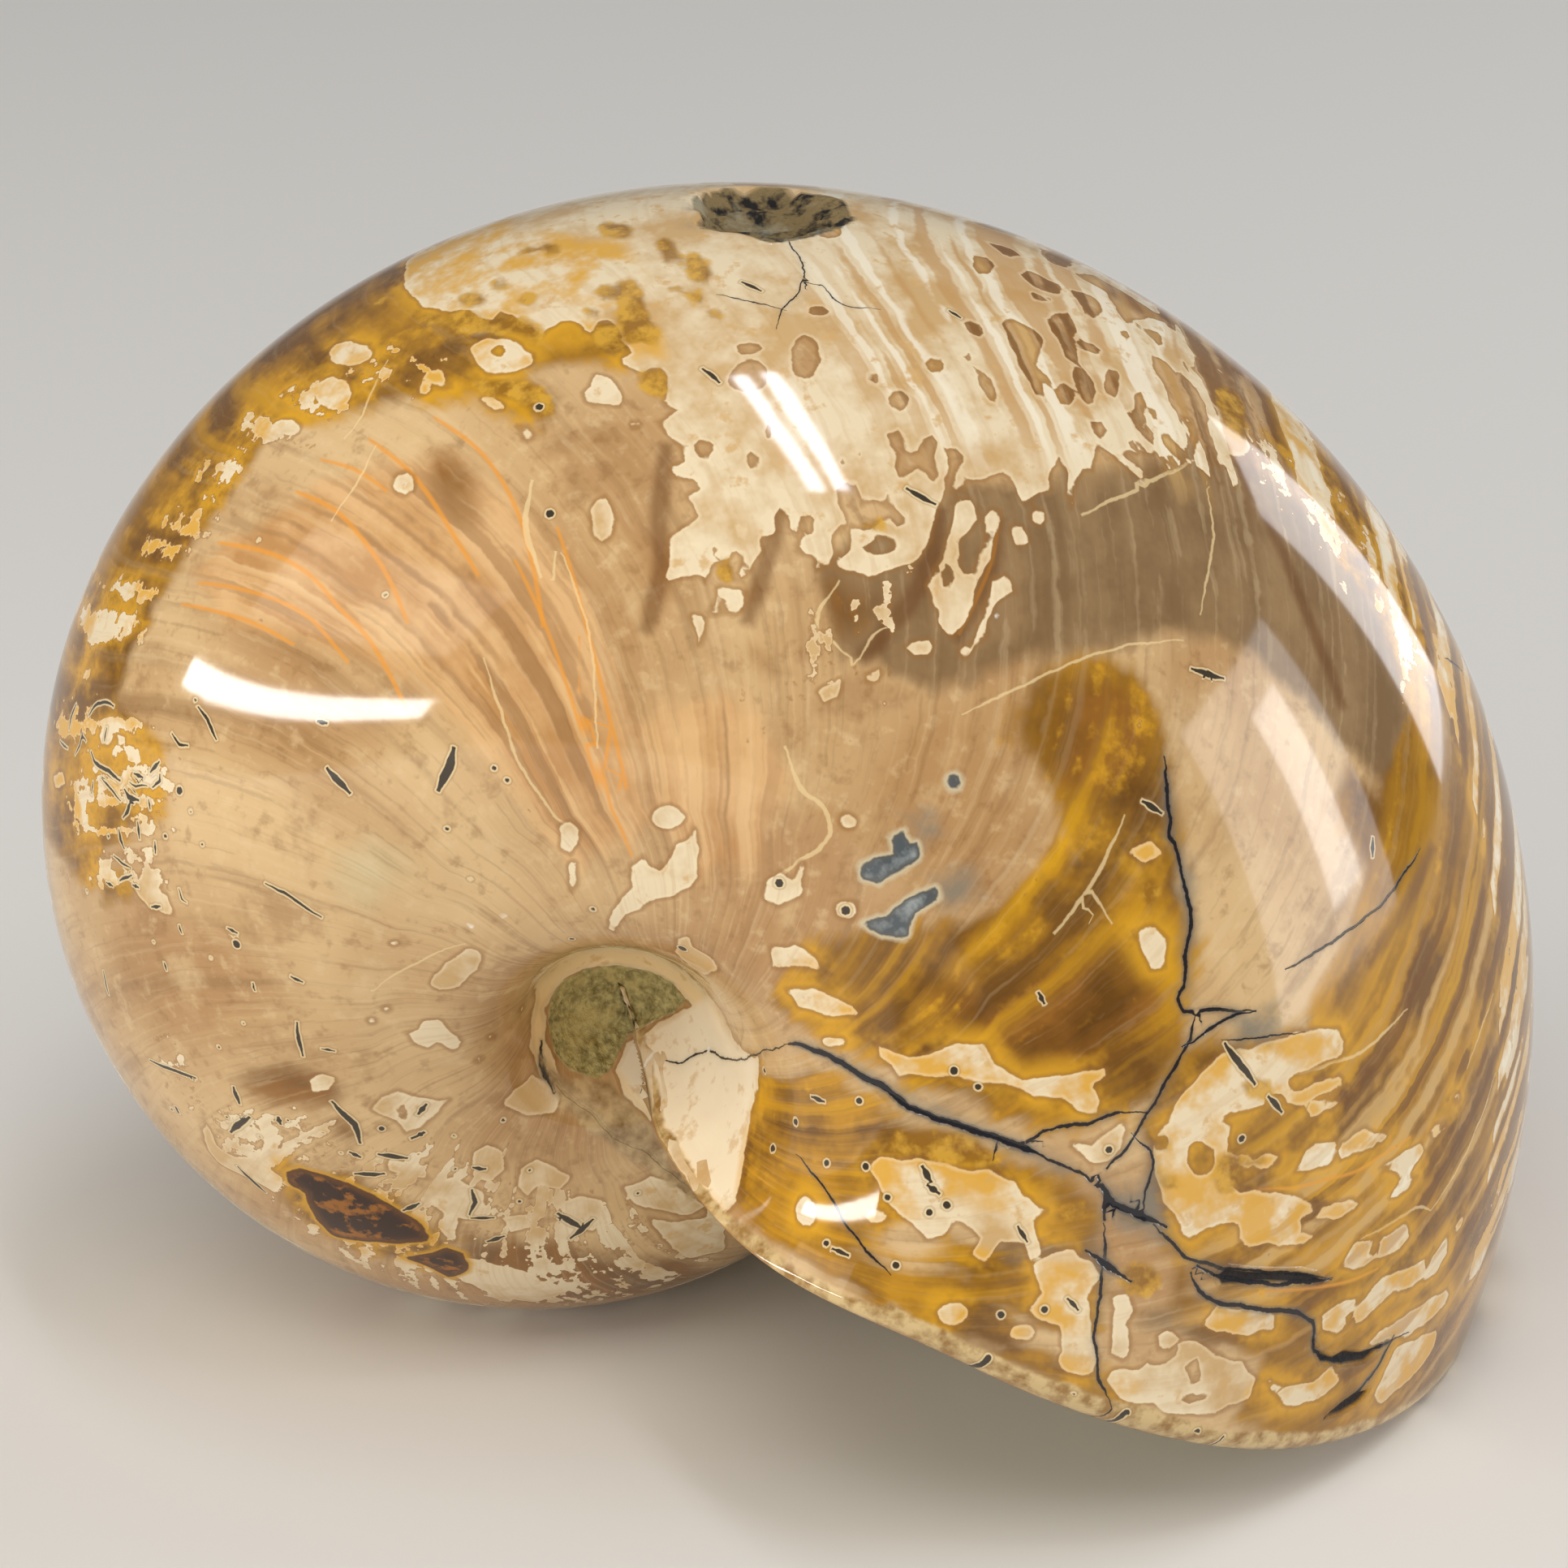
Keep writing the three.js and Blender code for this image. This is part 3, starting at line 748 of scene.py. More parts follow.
# %% [markdown]
# ## Mark out the lines
# Each line is noted with half its width. Cracks have straight, broken runs. What grew in curves, such as the
# orange arcs and the pale veins, is rounded off between its noted points.

# %% Cracks and open slits
CRACKS = """
3.6 main: 973,1286 989,1286 1023,1303 1052,1320 1086,1339 1119,1363 1152,1378 1195,1391 1238,1406 1278,1419
+ 1311,1436 1338,1449 1358,1469 1361,1495
1.5 spur: 1228,1407 1225,1422
1.8 branch: 1257,1409 1281,1397 1309,1388 1345,1382 1376,1371 1407,1370
2.2 upright: 1434,940 1440,1028 1459,1089 1468,1140 1459,1177 1459,1213 1449,1229 1457,1246 1500,1245
+ 1541,1246
2 zigzag: 1541,1246 1511,1253 1486,1272 1462,1285
1.8 down from it: 1472,1252 1462,1285 1449,1314 1425,1351 1407,1382 1399,1400 1379,1425 1370,1434
1.6 fork: 1399,1400 1416,1415 1420,1434 1411,1464 1408,1492
1.1 to the right: 1511,1281 1578,1275 1602,1272
4 junction: 1355,1455 1366,1478 1385,1490 1410,1500 1430,1508
2 upper slit: 1425,1513 1462,1550 1502,1562 1539,1566 1576,1568 1613,1571 1635,1575
2.2 back: 1635,1575 1598,1581 1539,1580 1502,1574 1480,1562
2.6 lower slit: 1469,1573 1476,1592 1502,1605 1539,1612 1576,1614 1598,1618 1617,1629 1618,1647 1617,1662
+ 1628,1673 1654,1677 1680,1666 1713,1651 1731,1642
2.5 wedge: 1713,1651 1698,1680 1672,1714 1635,1743
1.8 from the junction down: 1360,1514 1360,1551 1354,1599 1348,1647 1354,1699 1367,1736
3 slash: 1343,1545 1387,1575
1 pit hairline: 964,287 984,316 991,338 982,365 964,382 957,401
0.8 pit hairline: 890,365 962,381
0.8 pit hairline: 989,350 1011,352 1029,370 1051,379 1078,381
1.4 fault: 1746,1049 1702,1113 1653,1152 1589,1192
1.4 grey thread: 986,1426 1013,1459 1033,1489 1046,1512 1066,1539 1092,1565
1.5 nick: 1780,812 1800,826
"""
mark_out(lines, "crack", CRACKS)
SLITS = """
upper: 1500,1572 1510,1563 1540,1567 1600,1567 1622,1572 1628,1578 1600,1580 1560,1578 1530,1580 1505,1582
wedge: 1634,1744 1650,1730 1668,1716 1684,1712 1672,1726 1650,1740
lower: 1618,1650 1622,1664 1640,1672 1655,1664 1680,1666 1700,1656 1680,1676 1650,1680 1626,1676
"""
mark_out(areas, "slit", SLITS)

# %% Orange arcs, dark grooves and pale veins
ARCS = """
1.2 : 540,518 594,559 634,621 656,692 668,760
1.4 : 460,545 513,590 558,657 585,701
1.0 : 402,568 440,580 470,600
1.4 : 370,608 415,630 451,670 478,710 500,760
1.4 : 277,670 339,684 384,710 420,751 451,782 478,826 496,862
1.0 : 250,719 313,730 379,759 424,809
1.0 : 232,746 313,768 357,791
1.0 : 690,660 720,760 745,860 770,960
0.8 : 1228,650 1222,690 1204,735 1186,772
0.8 : 640,700 680,790 710,880 740,980
0.8 : 1640,1452 1672,1442 1700,1425 1730,1405
0.8 : 730,900 760,1010 775,1045
0.8 : 1560,1590 1620,1586 1660,1578 1690,1566
0.8 : 1560,1465 1600,1462 1640,1450
"""
mark_out(lines, "arc", ARCS)
GROOVES = """
3 : 1690,1180 1760,1050
3 : 1560,640 1610,760 1650,860
4 : 1155,640 1146,690 1122,738 1092,778 1070,802
3 : 1229,652 1222,695 1204,740 1184,776
4 : 820,560 812,640 816,700 800,765
4 : 962,600 948,680 925,755
"""
mark_out(lines, "groove", GROOVES)
VEINS = """
3.5 bright: 652,612 647,648 661,692
2.5 : 975,940 989,976 1011,989 1024,1021 1011,1043 980,1065
2 : 1348,628 1392,608 1410,599 1468,570
4 knot: 1400,597 1416,594
2 : 1377,1024 1342,1093 1313,1133
1.5 : 1342,1093 1360,1120
2 : 1022,733 1010,750 1006,768 1008,782
1.4 : 1016,780 1026,790 1036,802
1.6 : 1068,797 1074,786 1082,780
1.6 bright: 1590,1324 1640,1310 1680,1294 1706,1270 1722,1254
1.6 bright: 1690,1520 1712,1508 1732,1494 1746,1486 1762,1492
1.2 : 1812,1300 1822,1270 1834,1240
1.2 : 1800,1430 1822,1380 1836,1340
1.2 : 1776,1470 1806,1420 1820,1380
1.2 : 1204,872 1270,840 1332,812 1382,798 1440,790
1.4 : 603,831 625,900 643,945 683,1003
1.4 : 469,460 446,514 437,527
1.2 : 455,567 440,596 420,625
1.3 : 1488,613 1494,650 1490,689 1481,740
1.2 : 554,1168 510,1188 469,1213
1.0 : 700,700 730,800 735,900
"""
mark_out(lines, "vein", VEINS)

# %% Long borings
BORINGS = """
2 : 112,879 116,872 123,867 130,866 136,867 139,869
1.5 : 87,896 88,886 92,874 94,870
1 : 76,914 84,922
1.5 : 95,928 100,918 102,906 106,912
2.2 : 114,929 116,937 125,945 135,950 141,956 147,960
1.3 : 128,960 138,972 148,985
3 : 156,975 160,982 170,985
2.2 : 162,988 158,1000 154,1005
2.6 : 168,954 175,957
2.4 : 188,949 195,940
1.1 : 162,965 168,970 175,967 180,968
1.8 : 190,968 197,962 197,957
1.5 : 184,988 185,994
1.8 : 171,1016 172,1030
2.2 : 148,1025 150,1035 153,1042
1.5 : 192,1040 192,1048
1.3 : 143,1056 150,1062 160,1068
1.8 : 150,1084 161,1079
2.4 : 134,1088 138,1090
2.4 : 166,1091 169,1092
2.4 : 190,1117 196,1117
1 : 222,1098 225,1108 228,1110
2 : 246,873 256,887 262,900 266,908
1.6 : 214,906 222,918 230,919
1.2 : 115,966 114,975
1.4 : 132,900 130,910
1.4 : 129,1199 134,1222
1.6 : 223,1143 224,1146
2.2 : 284,1145 290,1148
1.6 : 203,1189 204,1192
1.6 : 313,1214 314,1217
2 : 362,1204 370,1208
2.2 : 366,1262 368,1278 373,1298
1.6 : 400,1292 409,1294
1.6 : 330,1090 352,1100 379,1119 393,1128
3 : 395,889 400,890
4 : 406,949 429,974
5 : 558,925 554,945 542,970
2.5 : 188,1307 239,1327
3.5 : 411,1359 437,1384 443,1405
3 : 289,1342 294,1357
4 : 218,1366 219,1368
4 : 344,1379 345,1382
4 : 306,1378 286,1393
3 : 296,1439 325,1466
3 : 434,1421 441,1424
3.5 : 441,1446 470,1446
3.5 : 470,1422 498,1426
2.5 : 582,1468 586,1481 580,1494
2.5 : 584,1500 605,1500
3 : 586,1439 595,1440
3.5 : 689,1497 709,1507 717,1513
3.5 : 728,1504 706,1524
3 : 500,1490 514,1484
3.5 : 604,1528 618,1524
3 : 1234,1404 1240,1409
4 : 523,1363 517,1370
4 : 520,1397 510,1401
2.5 : 868,457 884,470
3 : 1120,604 1149,620
2.5 : 917,350 935,358
2.5 : 1172,386 1180,391
3.5 : 1138,1440 1146,1453
3.5 : 1146,1462 1154,1469
2.5 : 1256,1514 1264,1527
2.5 : 1030,1540 1042,1546
2.5 : 1002,1352 1014,1356
2.5 : 1317,1602 1326,1611
4 : 1511,1288 1528,1312 1544,1333
3 : 1281,1226 1285,1233
3 : 1690,1036 1690,1052
3.5 : 1410,989 1428,1000
3 : 1470,826 1504,836
3.5 : 1564,1352 1576,1368
"""
mark_out(lines, "boring", BORINGS)

# %% Round borings, each a dot
DOTS = """
4 : 982,1382 953,1415 1019,1433 1067,1437 1059,1356 1175,1319 1205,1339 1094,1475 1145,1494 1167,1485
+ 1104,1559 1019,1532 1366,1417 1287,1614 1233,1620 1212,1682 943,1319
2.4 : 731,1120 705,1156 579,1083 551,1021 625,961 609,946 791,1469 856,1511 653,1442 319,666 475,733
4.5 : 665,502 678,633 960,1088 841,1168 1042,1122 222,974 292,1163 1488,831 1529,1403 565,1492 520,1512
2 : 108,1098 241,863 134,1030 205,1030 235,1000 250,1040 190,1160 260,1180 300,1260 270,1290 320,1400
+ 280,1376 236,1328 212,1366 300,1378 355,1380 420,1420 470,1390 560,1400 620,1380 640,1480 560,1440
+ 786,1470 690,1500
"""


def dots_of(text):
    """Each pixel of a list as a mark of its own: a line with one point."""
    return [(width * PIXEL, spot[None]) for width, pixels in read_marks(text) for spot in on_chart(pixels)]


lines["boring"] += dots_of(DOTS)
print("boring:", len(lines["boring"]), "marks with the round ones")

# %% White spots of calcite
WHITE_DOTS = """
4 : 1234,1155 1281,1192 1408,595 620,1128 580,1140 1058,980 1350,740 700,1190 873,1293 1230,760
"""
white_dots = dots_of(WHITE_DOTS)
print("white:", len(white_dots), "marks")

# %% Marks round the pocket, which are measured across the picture, because they wind round its middle
POCKET_ROCK = """
rough rock in the pocket: 682,1226 696,1208 722,1196 760,1191 800,1197 826,1212 842,1232 828,1248 806,1257
+ 774,1275 760,1300 752,1318 735,1329 702,1318 684,1295 677,1258
"""
POCKET_CRACKS = """
1.1 over the shoulder: 811,1304 839,1311 854,1301 875,1293 891,1304 918,1305 940,1295 960,1291 973,1286
1 down the shoulder: 800,1305 790,1340
3.2 rim of the pocket: 667,1290 668,1316 680,1340
2.4 behind the lip: 672,1315 695,1345 734,1373 756,1401 793,1415 827,1443 855,1465
"""
POCKET_EARTH = """
between the whorls: 664,1300 700,1330 752,1330 790,1375 830,1425 868,1475 850,1478 815,1452 770,1425
+ 725,1392 690,1360
"""
POCKET_WALL = """
cream shoulder: 772,1286 812,1262 850,1240 872,1226 892,1262 914,1292 935,1304 934,1340 922,1390 914,1440
+ 908,1480 896,1492 870,1466 845,1430 815,1385 780,1350 758,1318
"""
RIMS = """
12 round the pocket, top: 666,1240 672,1214 690,1195 716,1183 752,1179 790,1183 815,1193 838,1207 858,1227
+ 874,1249 890,1276
10 round the pocket, left: 664,1240 663,1262 665,1288 673,1316 688,1342
9 lip wall: 764,1318 776,1342 802,1368 836,1404 862,1448 892,1490
"""
by_picture = {}
for name, text in (("rock", POCKET_ROCK), ("crack", POCKET_CRACKS), ("earth", POCKET_EARTH),
                   ("wall", POCKET_WALL), ("rim", RIMS)):
    by_picture[name] = [(width * PIXEL, np.array(pixels)) for width, pixels in read_marks(text)]
    print("pocket's", name + ":", len(by_picture[name]), "marks")


# %% Round off what grew in curves
def rounded(line, steps=4):
    """A line with more points on it, so that it bends smoothly through the noted ones."""
    if len(line) < 3:
        return line
    ends = np.vstack([2 * line[0] - line[1], line, 2 * line[-1] - line[-2]])
    made = []
    for before, here, there, after in zip(ends, ends[1:], ends[2:], ends[3:]):
        for t in np.arange(steps) / steps:
            made.append(here + 0.5 * t * (there - before
                        + t * (2 * before - 5 * here + 4 * there - after
                               + t * (3 * (here - there) + after - before))))
    return np.vstack([made, line[-1:]])


for name in ("arc", "vein", "groove"):
    lines[name] = [(width, rounded(line)) for width, line in lines[name]]
for name in ("arc", "crack"):      # neighbours go into two sets, so that each can be told from the next
    lines[name + "_too"] = lines[name][1::2]
    lines[name] = lines[name][::2]
print("points on the arcs:", sum(len(line) for _, line in lines["arc"] + lines["arc_too"]))

# %% [markdown]
# ## How far is it to each mark?
# The chart of turn and across is stretched where it lies on the shell, so a step of it is measured there. The
# far flank is never seen together with the near one, so it gets the same stains, as a stone cut from the same
# bed would have. They are turned back round the coil, and squeezed where they pass over the venter.

# %% Fold the far flank's stains over from the near one
FOLD_AT, FOLD_DONE = 0.35, 1.2       # beyond the first the far flank starts to repeat the near one
TWIN_DONE = -1.1                     # what it repeats at the second
FAR_SHIFT = 0.8                      # radians that its stains are turned back by
CHART_END = 2.97                     # the chart's own end is the coil axis, where the slopes are lost
TINY = 1e-12                         # keeps a division away from 0


def eased(share):
    """A share from 0 to 1 that starts and stops gently."""
    share = np.clip(share, 0, 1)
    return share * share * (3 - 2 * share)


def twin(turn, across):
    """The spot of the near flank whose stains a spot of the shell shows."""
    over = (across - FOLD_AT) / (FOLD_DONE - FOLD_AT)
    shifted = turn + FAR_SHIFT * eased(over) * (1 - turn / TURN)
    return shifted, np.interp(across, (-3, FOLD_AT, FOLD_DONE, 2, 3), (-3, FOLD_AT, TWIN_DONE, -2, -3))


print("the far flank's widest point shows what the near one has at across",
      round(float(twin(np.zeros(1), np.ones(1))[1][0]), 2))

# %% Spots that can be measured from
EDGE_ON, PLAIN = 0.02, 0.2      # cosines: a face is seen from the first, and plainly by the second more
CLEAR_OF_STONE = 0.6 * MM       # a ray to the camera starts this far off the solid


class Spots:
    """Spots named by two numbers, with how many metres a step of each number is there."""

    def __init__(self, first, second, along, slant, over):
        self.first, self.second = first, second
        self.along, self.slant, self.over = along, slant, over

    def near(self, outline, reach):
        """Which spots may lie within reach of an outline."""
        low, high = outline.min(0), outline.max(0)
        gap_over = reach / self.over
        gap_along = reach / self.along + np.abs(self.slant / self.along) * gap_over
        return np.flatnonzero((self.first > low[0] - gap_along) & (self.first < high[0] + gap_along)
                              & (self.second > low[1] - gap_over) & (self.second < high[1] + gap_over))

    def offsets(self, some, spot):
        """How far some spots lie from one, along and across, in metres."""
        du, dv = self.first[some] - spot[0], self.second[some] - spot[1]
        return self.along[some] * du + self.slant[some] * dv, self.over[some] * dv


def over_shell(turn, across):
    """Spots measured over the surface, with where they are from the coil axis and which way is out."""
    turn, across = twin(turn, across)
    inside = np.clip(across, -CHART_END, CHART_END)
    along, over = slopes(turn, inside)
    outward = np.cross(over, along)
    outward /= np.maximum(np.linalg.norm(outward, axis=1, keepdims=True), TINY)
    length = np.maximum(np.linalg.norm(along, axis=1), TINY)
    slant = (along * over).sum(1) / length
    width = np.sqrt(np.maximum((over * over).sum(1) - slant ** 2, TINY))
    return Spots(turn, across, length, slant, width), on_whorl(turn, inside), outward


def across_picture(skin, outward):
    """The same spots, measured across the camera's picture, and how plainly it shows each of them."""
    to_eye = np.array(eye - coil_axis) - skin
    depth = to_eye @ np.array(back)
    x = PICTURE / 2 - to_eye @ np.array(right) / depth * FOCAL_SHARE * PICTURE
    y = PICTURE / 2 + to_eye @ np.array(up) / depth * FOCAL_SHARE * PICTURE
    to_eye /= np.linalg.norm(to_eye, axis=1, keepdims=True)
    cosine = (outward * to_eye).sum(1)
    shown = np.zeros(len(depth))
    for index in np.flatnonzero(cosine > EDGE_ON):
        start = Vector(skin[index] + outward[index] * CLEAR_OF_STONE) + coil_axis
        if solid_tree.ray_cast(start, Vector(to_eye[index]))[0] is None:
            shown[index] = min((cosine[index] - EDGE_ON) / PLAIN, 1)
    pixel, none = np.full(len(depth), PIXEL), np.zeros(len(depth))
    return Spots(x, y, pixel, none, pixel), shown


# %% Distance to areas, in metres
def to_area(spots, marks, reach):
    """Distance to the nearest edge of a group of areas: above 0 inside, below 0 outside."""
    result = np.full(len(spots.first), -reach)
    for _, outline in marks:
        some = spots.near(outline, reach)
        if not len(some):
            continue
        nearest = np.full(len(some), reach)
        inside = np.zeros(len(some), bool)
        for start, end in zip(outline, np.roll(outline, -1, axis=0)):
            x0, y0 = spots.offsets(some, start)
            x1, y1 = spots.offsets(some, end)
            ex, ey = x0 - x1, y0 - y1
            t = np.clip((x0 * ex + y0 * ey) / np.maximum(ex * ex + ey * ey, TINY), 0, 1)
            nearest = np.minimum(nearest, np.hypot(x0 - t * ex, y0 - t * ey))
            crosses = (y0 >= 0) != (y1 >= 0)
            inside ^= crosses & (x0 - ex * y0 / np.where(ey == 0, TINY, ey) < 0)
        result[some] = np.maximum(result[some], np.where(inside, nearest, -nearest))
    return result


# %% Distance to lines, in metres
TAPER, TAPER_SHARE = 1.6 * MM, 0.3      # a line thins to its end over this length, or share of its own
END_SHARE = 0.4                         # down to this share of its width


def run_length(spots, some, line):
    """How long a line is, as the spots near it measure it."""
    total = 0.0
    for start, end in zip(line, line[1:]):
        x0, y0 = spots.offsets(some, start)
        x1, y1 = spots.offsets(some, end)
        total += np.hypot(float(np.median(x0 - x1)), float(np.median(y0 - y1)))
    return total


def to_line(spots, marks, reach):
    """The nearest line of a group: offset to its side, half its width, and the whole distance to it."""
    result = np.tile([reach, 0.0, reach], (len(spots.first), 1))
    best = np.full(len(spots.first), reach)

    def offer(some, side, half, distance):
        """Take these measures where this line is nearer than the best one yet."""
        take = distance - half < best[some]
        best[some[take]] = (distance - half)[take]
        result[some[take]] = np.stack([side, half, distance], 1)[take]

    for width, line in marks:
        some = spots.near(line, reach)
        if not len(some):
            continue
        if len(line) == 1:
            distance = np.hypot(*spots.offsets(some, line[0]))
            offer(some, distance, np.full(len(some), width), distance)
            continue
        whole, last, run = run_length(spots, some, line), len(line) - 2, 0.0
        for k in range(last + 1):
            x0, y0 = spots.offsets(some, line[k])
            x1, y1 = spots.offsets(some, line[k + 1])
            ex, ey = x0 - x1, y0 - y1
            length = np.maximum(np.hypot(ex, ey), TINY)
            t = (x0 * ex + y0 * ey) / length
            inner = np.clip(t, 0, length)
            distance = np.hypot(x0 - inner * ex / length, y0 - inner * ey / length)
            turned = x0 * ey - y0 * ex
            past_end = ((k == 0) & (t < 0)) | ((k == last) & (t > length))
            sideways = np.where(past_end, np.abs(turned) / length, distance)
            ends = np.minimum(run + inner, np.maximum(whole - run - inner, 0))
            thinning = ends / min(TAPER, TAPER_SHARE * whole)
            half = width * np.clip(END_SHARE + (1 - END_SHARE) * thinning, 0, 1)
            offer(some, np.sign(turned) * sideways, half, distance)
            run = run + length
    return result


widest = over_shell(np.array([0.0, TURN / 2]), np.array([-1.0, -1.0]))[0]
print("a degree of coil at the widest point is", [round(v, 2) for v in widest.along * math.radians(1) / MM],
      "mm long, at the lip and half a turn back")

# %% [markdown]
# ## Finer cells where the marks are
# A stain is carried by the corners of the cells, so its edge is only as sharp as the cells are small. The
# cells near an edge are cut in four, and those along the thinnest marks once more.

# %% Which cells lie near a mark
POCKET_SIDE, FAR_SIDE = -1.7, 0.5   # by the pocket all cells are cut, and on the far side none
LOOK_ROUND = 2 * MM                 # marks are looked for this much further than they need be
REFINE = (                          # areas, lines, how near them, and the cells that are longer than this
    (("cream", "hole", "band", "slate", "window", "pit", "slit", "amber_spot"),
     ("crack", "crack_too", "boring"), 0.5 * MM, 0.62 * MM),
    (("slit",), ("boring",), 0.3 * MM, 0.42 * MM))


def measured_cells(mesh):
    """The middle and the size of each cell of the flat sheet, in rows and columns."""
    centre, first = np.empty(len(mesh.polygons) * 3), np.empty(len(mesh.polygons), int)
    corners = np.empty(len(mesh.loops), int)
    mesh.polygons.foreach_get("center", centre)
    mesh.polygons.foreach_get("loop_start", first)
    mesh.loops.foreach_get("vertex_index", corners)
    centre = centre.reshape(-1, 3)
    return centre[:, :2], 2 * np.abs(numbers(mesh)[corners[first]] - centre)[:, :2]


def cells_near(mesh, area_names, line_names, reach, cell, whole_pocket):
    """The cells of the flat sheet that lie near a mark and are still longer than they should be."""
    centre, size = measured_cells(mesh)
    turn, across, roll, share = chart(*centre.T)
    before, beyond = chart(*(centre - size / 2).T), chart(*(centre + size / 2).T)
    spots = over_shell(turn, across)[0]
    longest = np.maximum(spots.along * (beyond[0] - before[0]), spots.over * (beyond[1] - before[1]))
    near = (across < POCKET_SIDE) & whole_pocket
    for name in area_names:
        near |= np.abs(to_area(spots, areas[name], reach + LOOK_ROUND)) < reach + longest / 2
    for name in line_names:
        _, half, distance = to_line(spots, lines[name], reach + LOOK_ROUND).T
        near |= distance - half < reach + longest / 2
    on_coil = (roll == 0) & (share < 0) & (turn > 0) & (turn < TURN)
    return near & (across < FAR_SIDE) & (longest > cell) & on_coil


# %% Cut them in four
for wanted in REFINE:
    chosen = cells_near(shell.data, *wanted, whole_pocket=wanted is REFINE[0])
    bpy.ops.object.mode_set(mode="EDIT")
    bpy.ops.mesh.select_mode(type="FACE")
    bpy.ops.mesh.select_all(action="DESELECT")
    bpy.ops.object.mode_set(mode="OBJECT")
    shell.data.polygons.foreach_set("select", chosen)
    bpy.ops.object.mode_set(mode="EDIT")
    bpy.ops.mesh.subdivide(number_cuts=1)
    bpy.ops.object.mode_set(mode="OBJECT")
    print(int(chosen.sum()), "cells cut, now", len(shell.data.polygons))


# %% [markdown]
# ## Roll it up
# Each point of the sheet is moved to where the formulas say, which is what a bend modifier would do along a
# spiral. The two ends of the sheet meet in the middle of the mouth, and its long edges close up into one
# point in the middle of each pocket, so the doubles there are merged and the surface has no opening.

# %% Roll the sheet into the shell
MERGE_WITHIN = 0.002 * MM

sheet_place = numbers(shell.data)
row, column = sheet_place[:, 0], sheet_place[:, 1]
turn, across, roll, share = chart(row, column)
parts = whorl(turn, across)
for chosen, other in ((roll > 0, lip(across, roll)), (share >= 0, mouth(across, share))):
    parts = [np.where(chosen, new, old) for new, old in zip(other, parts)]
points = place(*parts[:3], across) + np.array(coil_axis)

kept = shell.data.attributes.new("sheet", "FLOAT_VECTOR", "POINT")
kept.data.foreach_set("vector", sheet_place.ravel())
shell.data.vertices.foreach_set("co", points.ravel())

bpy.ops.object.mode_set(mode="EDIT")
bpy.ops.mesh.select_all(action="SELECT")
bpy.ops.mesh.remove_doubles(threshold=MERGE_WITHIN)
bpy.ops.mesh.normals_make_consistent(inside=False)
bpy.ops.object.mode_set(mode="OBJECT")
bpy.ops.object.shade_smooth()

sheet_place = np.empty(len(shell.data.vertices) * 3)
shell.data.attributes["sheet"].data.foreach_get("vector", sheet_place)
row, column = sheet_place.reshape(-1, 3)[:, :2].T
shell.data.attributes.remove(shell.data.attributes["sheet"])
turn, across, roll, share = chart(row, column)
print("the shell has", len(shell.data.vertices), "points and",
      sum(len(face.vertices) - 2 for face in shell.data.polygons), "triangles")
# %% [markdown]
# ## Give every point its stains
# Every point of the shell now asks how far it is from each mark. The answers are kept on the mesh in
# millimetres, as named attributes, and the stone's material reads them by name. A few marks are more than
# stains: the pit on the crown, the rough rock in the pocket and in the mouth, and the open slits are sunk
# into the surface, as a point chisel would have left them.

# %% Which points the camera sees, so that the hidden ones can be stained by rule instead
CALLUS_HERE = 22 * MM      # nearer the axis than this, the lip turns in as solid shell
NOTICE = 4 * MM            # how far from an area its edge is still measured
NOTICE_LINE = 3 * MM
SOFTEN_ROUNDS = 12

mesh = shell.data
on_skin = share < 0
spots, skin, outward = over_shell(np.where(on_skin, turn, np.where(share > 0.5, TURN, 0)), across)
from_axis, normals = numbers(mesh) - np.array(coil_axis), numbers(mesh, "normal")
to_near_side = np.stack([0 * across + 1, np.where(across > FOLD_AT, -1, 1), 0 * across + 1], axis=1)
skin = np.where(on_skin[:, None], skin, from_axis * to_near_side)
outward = np.where(on_skin[:, None], outward, normals * to_near_side)
in_picture, shown = across_picture(skin, outward)
at_the_rim = ~on_skin & (np.hypot(from_axis[:, 0], from_axis[:, 2]) < CALLUS_HERE)
seen_here = (on_skin | at_the_rim) & (shown > 0)

edges = np.empty(len(mesh.edges) * 2, int)
mesh.edges.foreach_get("vertices", edges)
one, other = edges.reshape(-1, 2).T
neighbours = np.bincount(edges, minlength=len(row))
for _ in range(SOFTEN_ROUNDS):      # each value is drawn towards the mean of its neighbours
    total = np.bincount(one, shown[other], len(row)) + np.bincount(other, shown[one], len(row))
    shown = (shown + total) / (1 + neighbours)
unseen = np.where(on_skin, 1 - shown, np.where(at_the_rim, 0, 1))
print("the camera sees", round(100 * float(seen_here.mean())), "% of the points")


# %% Measure from every point to the marks
def edge_of(name, reach=NOTICE):
    """Distance to the edge of a group of areas, in mm, and well outside where there is no skin."""
    return np.where(on_skin, to_area(spots, areas[name], reach), -reach) / MM


def line_of(name):
    """The three measures of a group of lines, in mm."""
    values = to_line(spots, lines[name], NOTICE_LINE)
    values[~on_skin] = (NOTICE_LINE, 0, NOTICE_LINE)
    return values / MM


def broad(name, soft=5.0):
    """A broad stain as a share from 0 to 1, which fades out some mm to each side of its edge."""
    return eased(edge_of(name, soft * MM) / soft / 2 + 0.5)


def by_the_pocket(name):
    """Distance to the edge of a mark by the pocket, in mm, measured across the picture."""
    return np.where(seen_here, to_area(in_picture, by_picture[name], NOTICE), -NOTICE) / MM


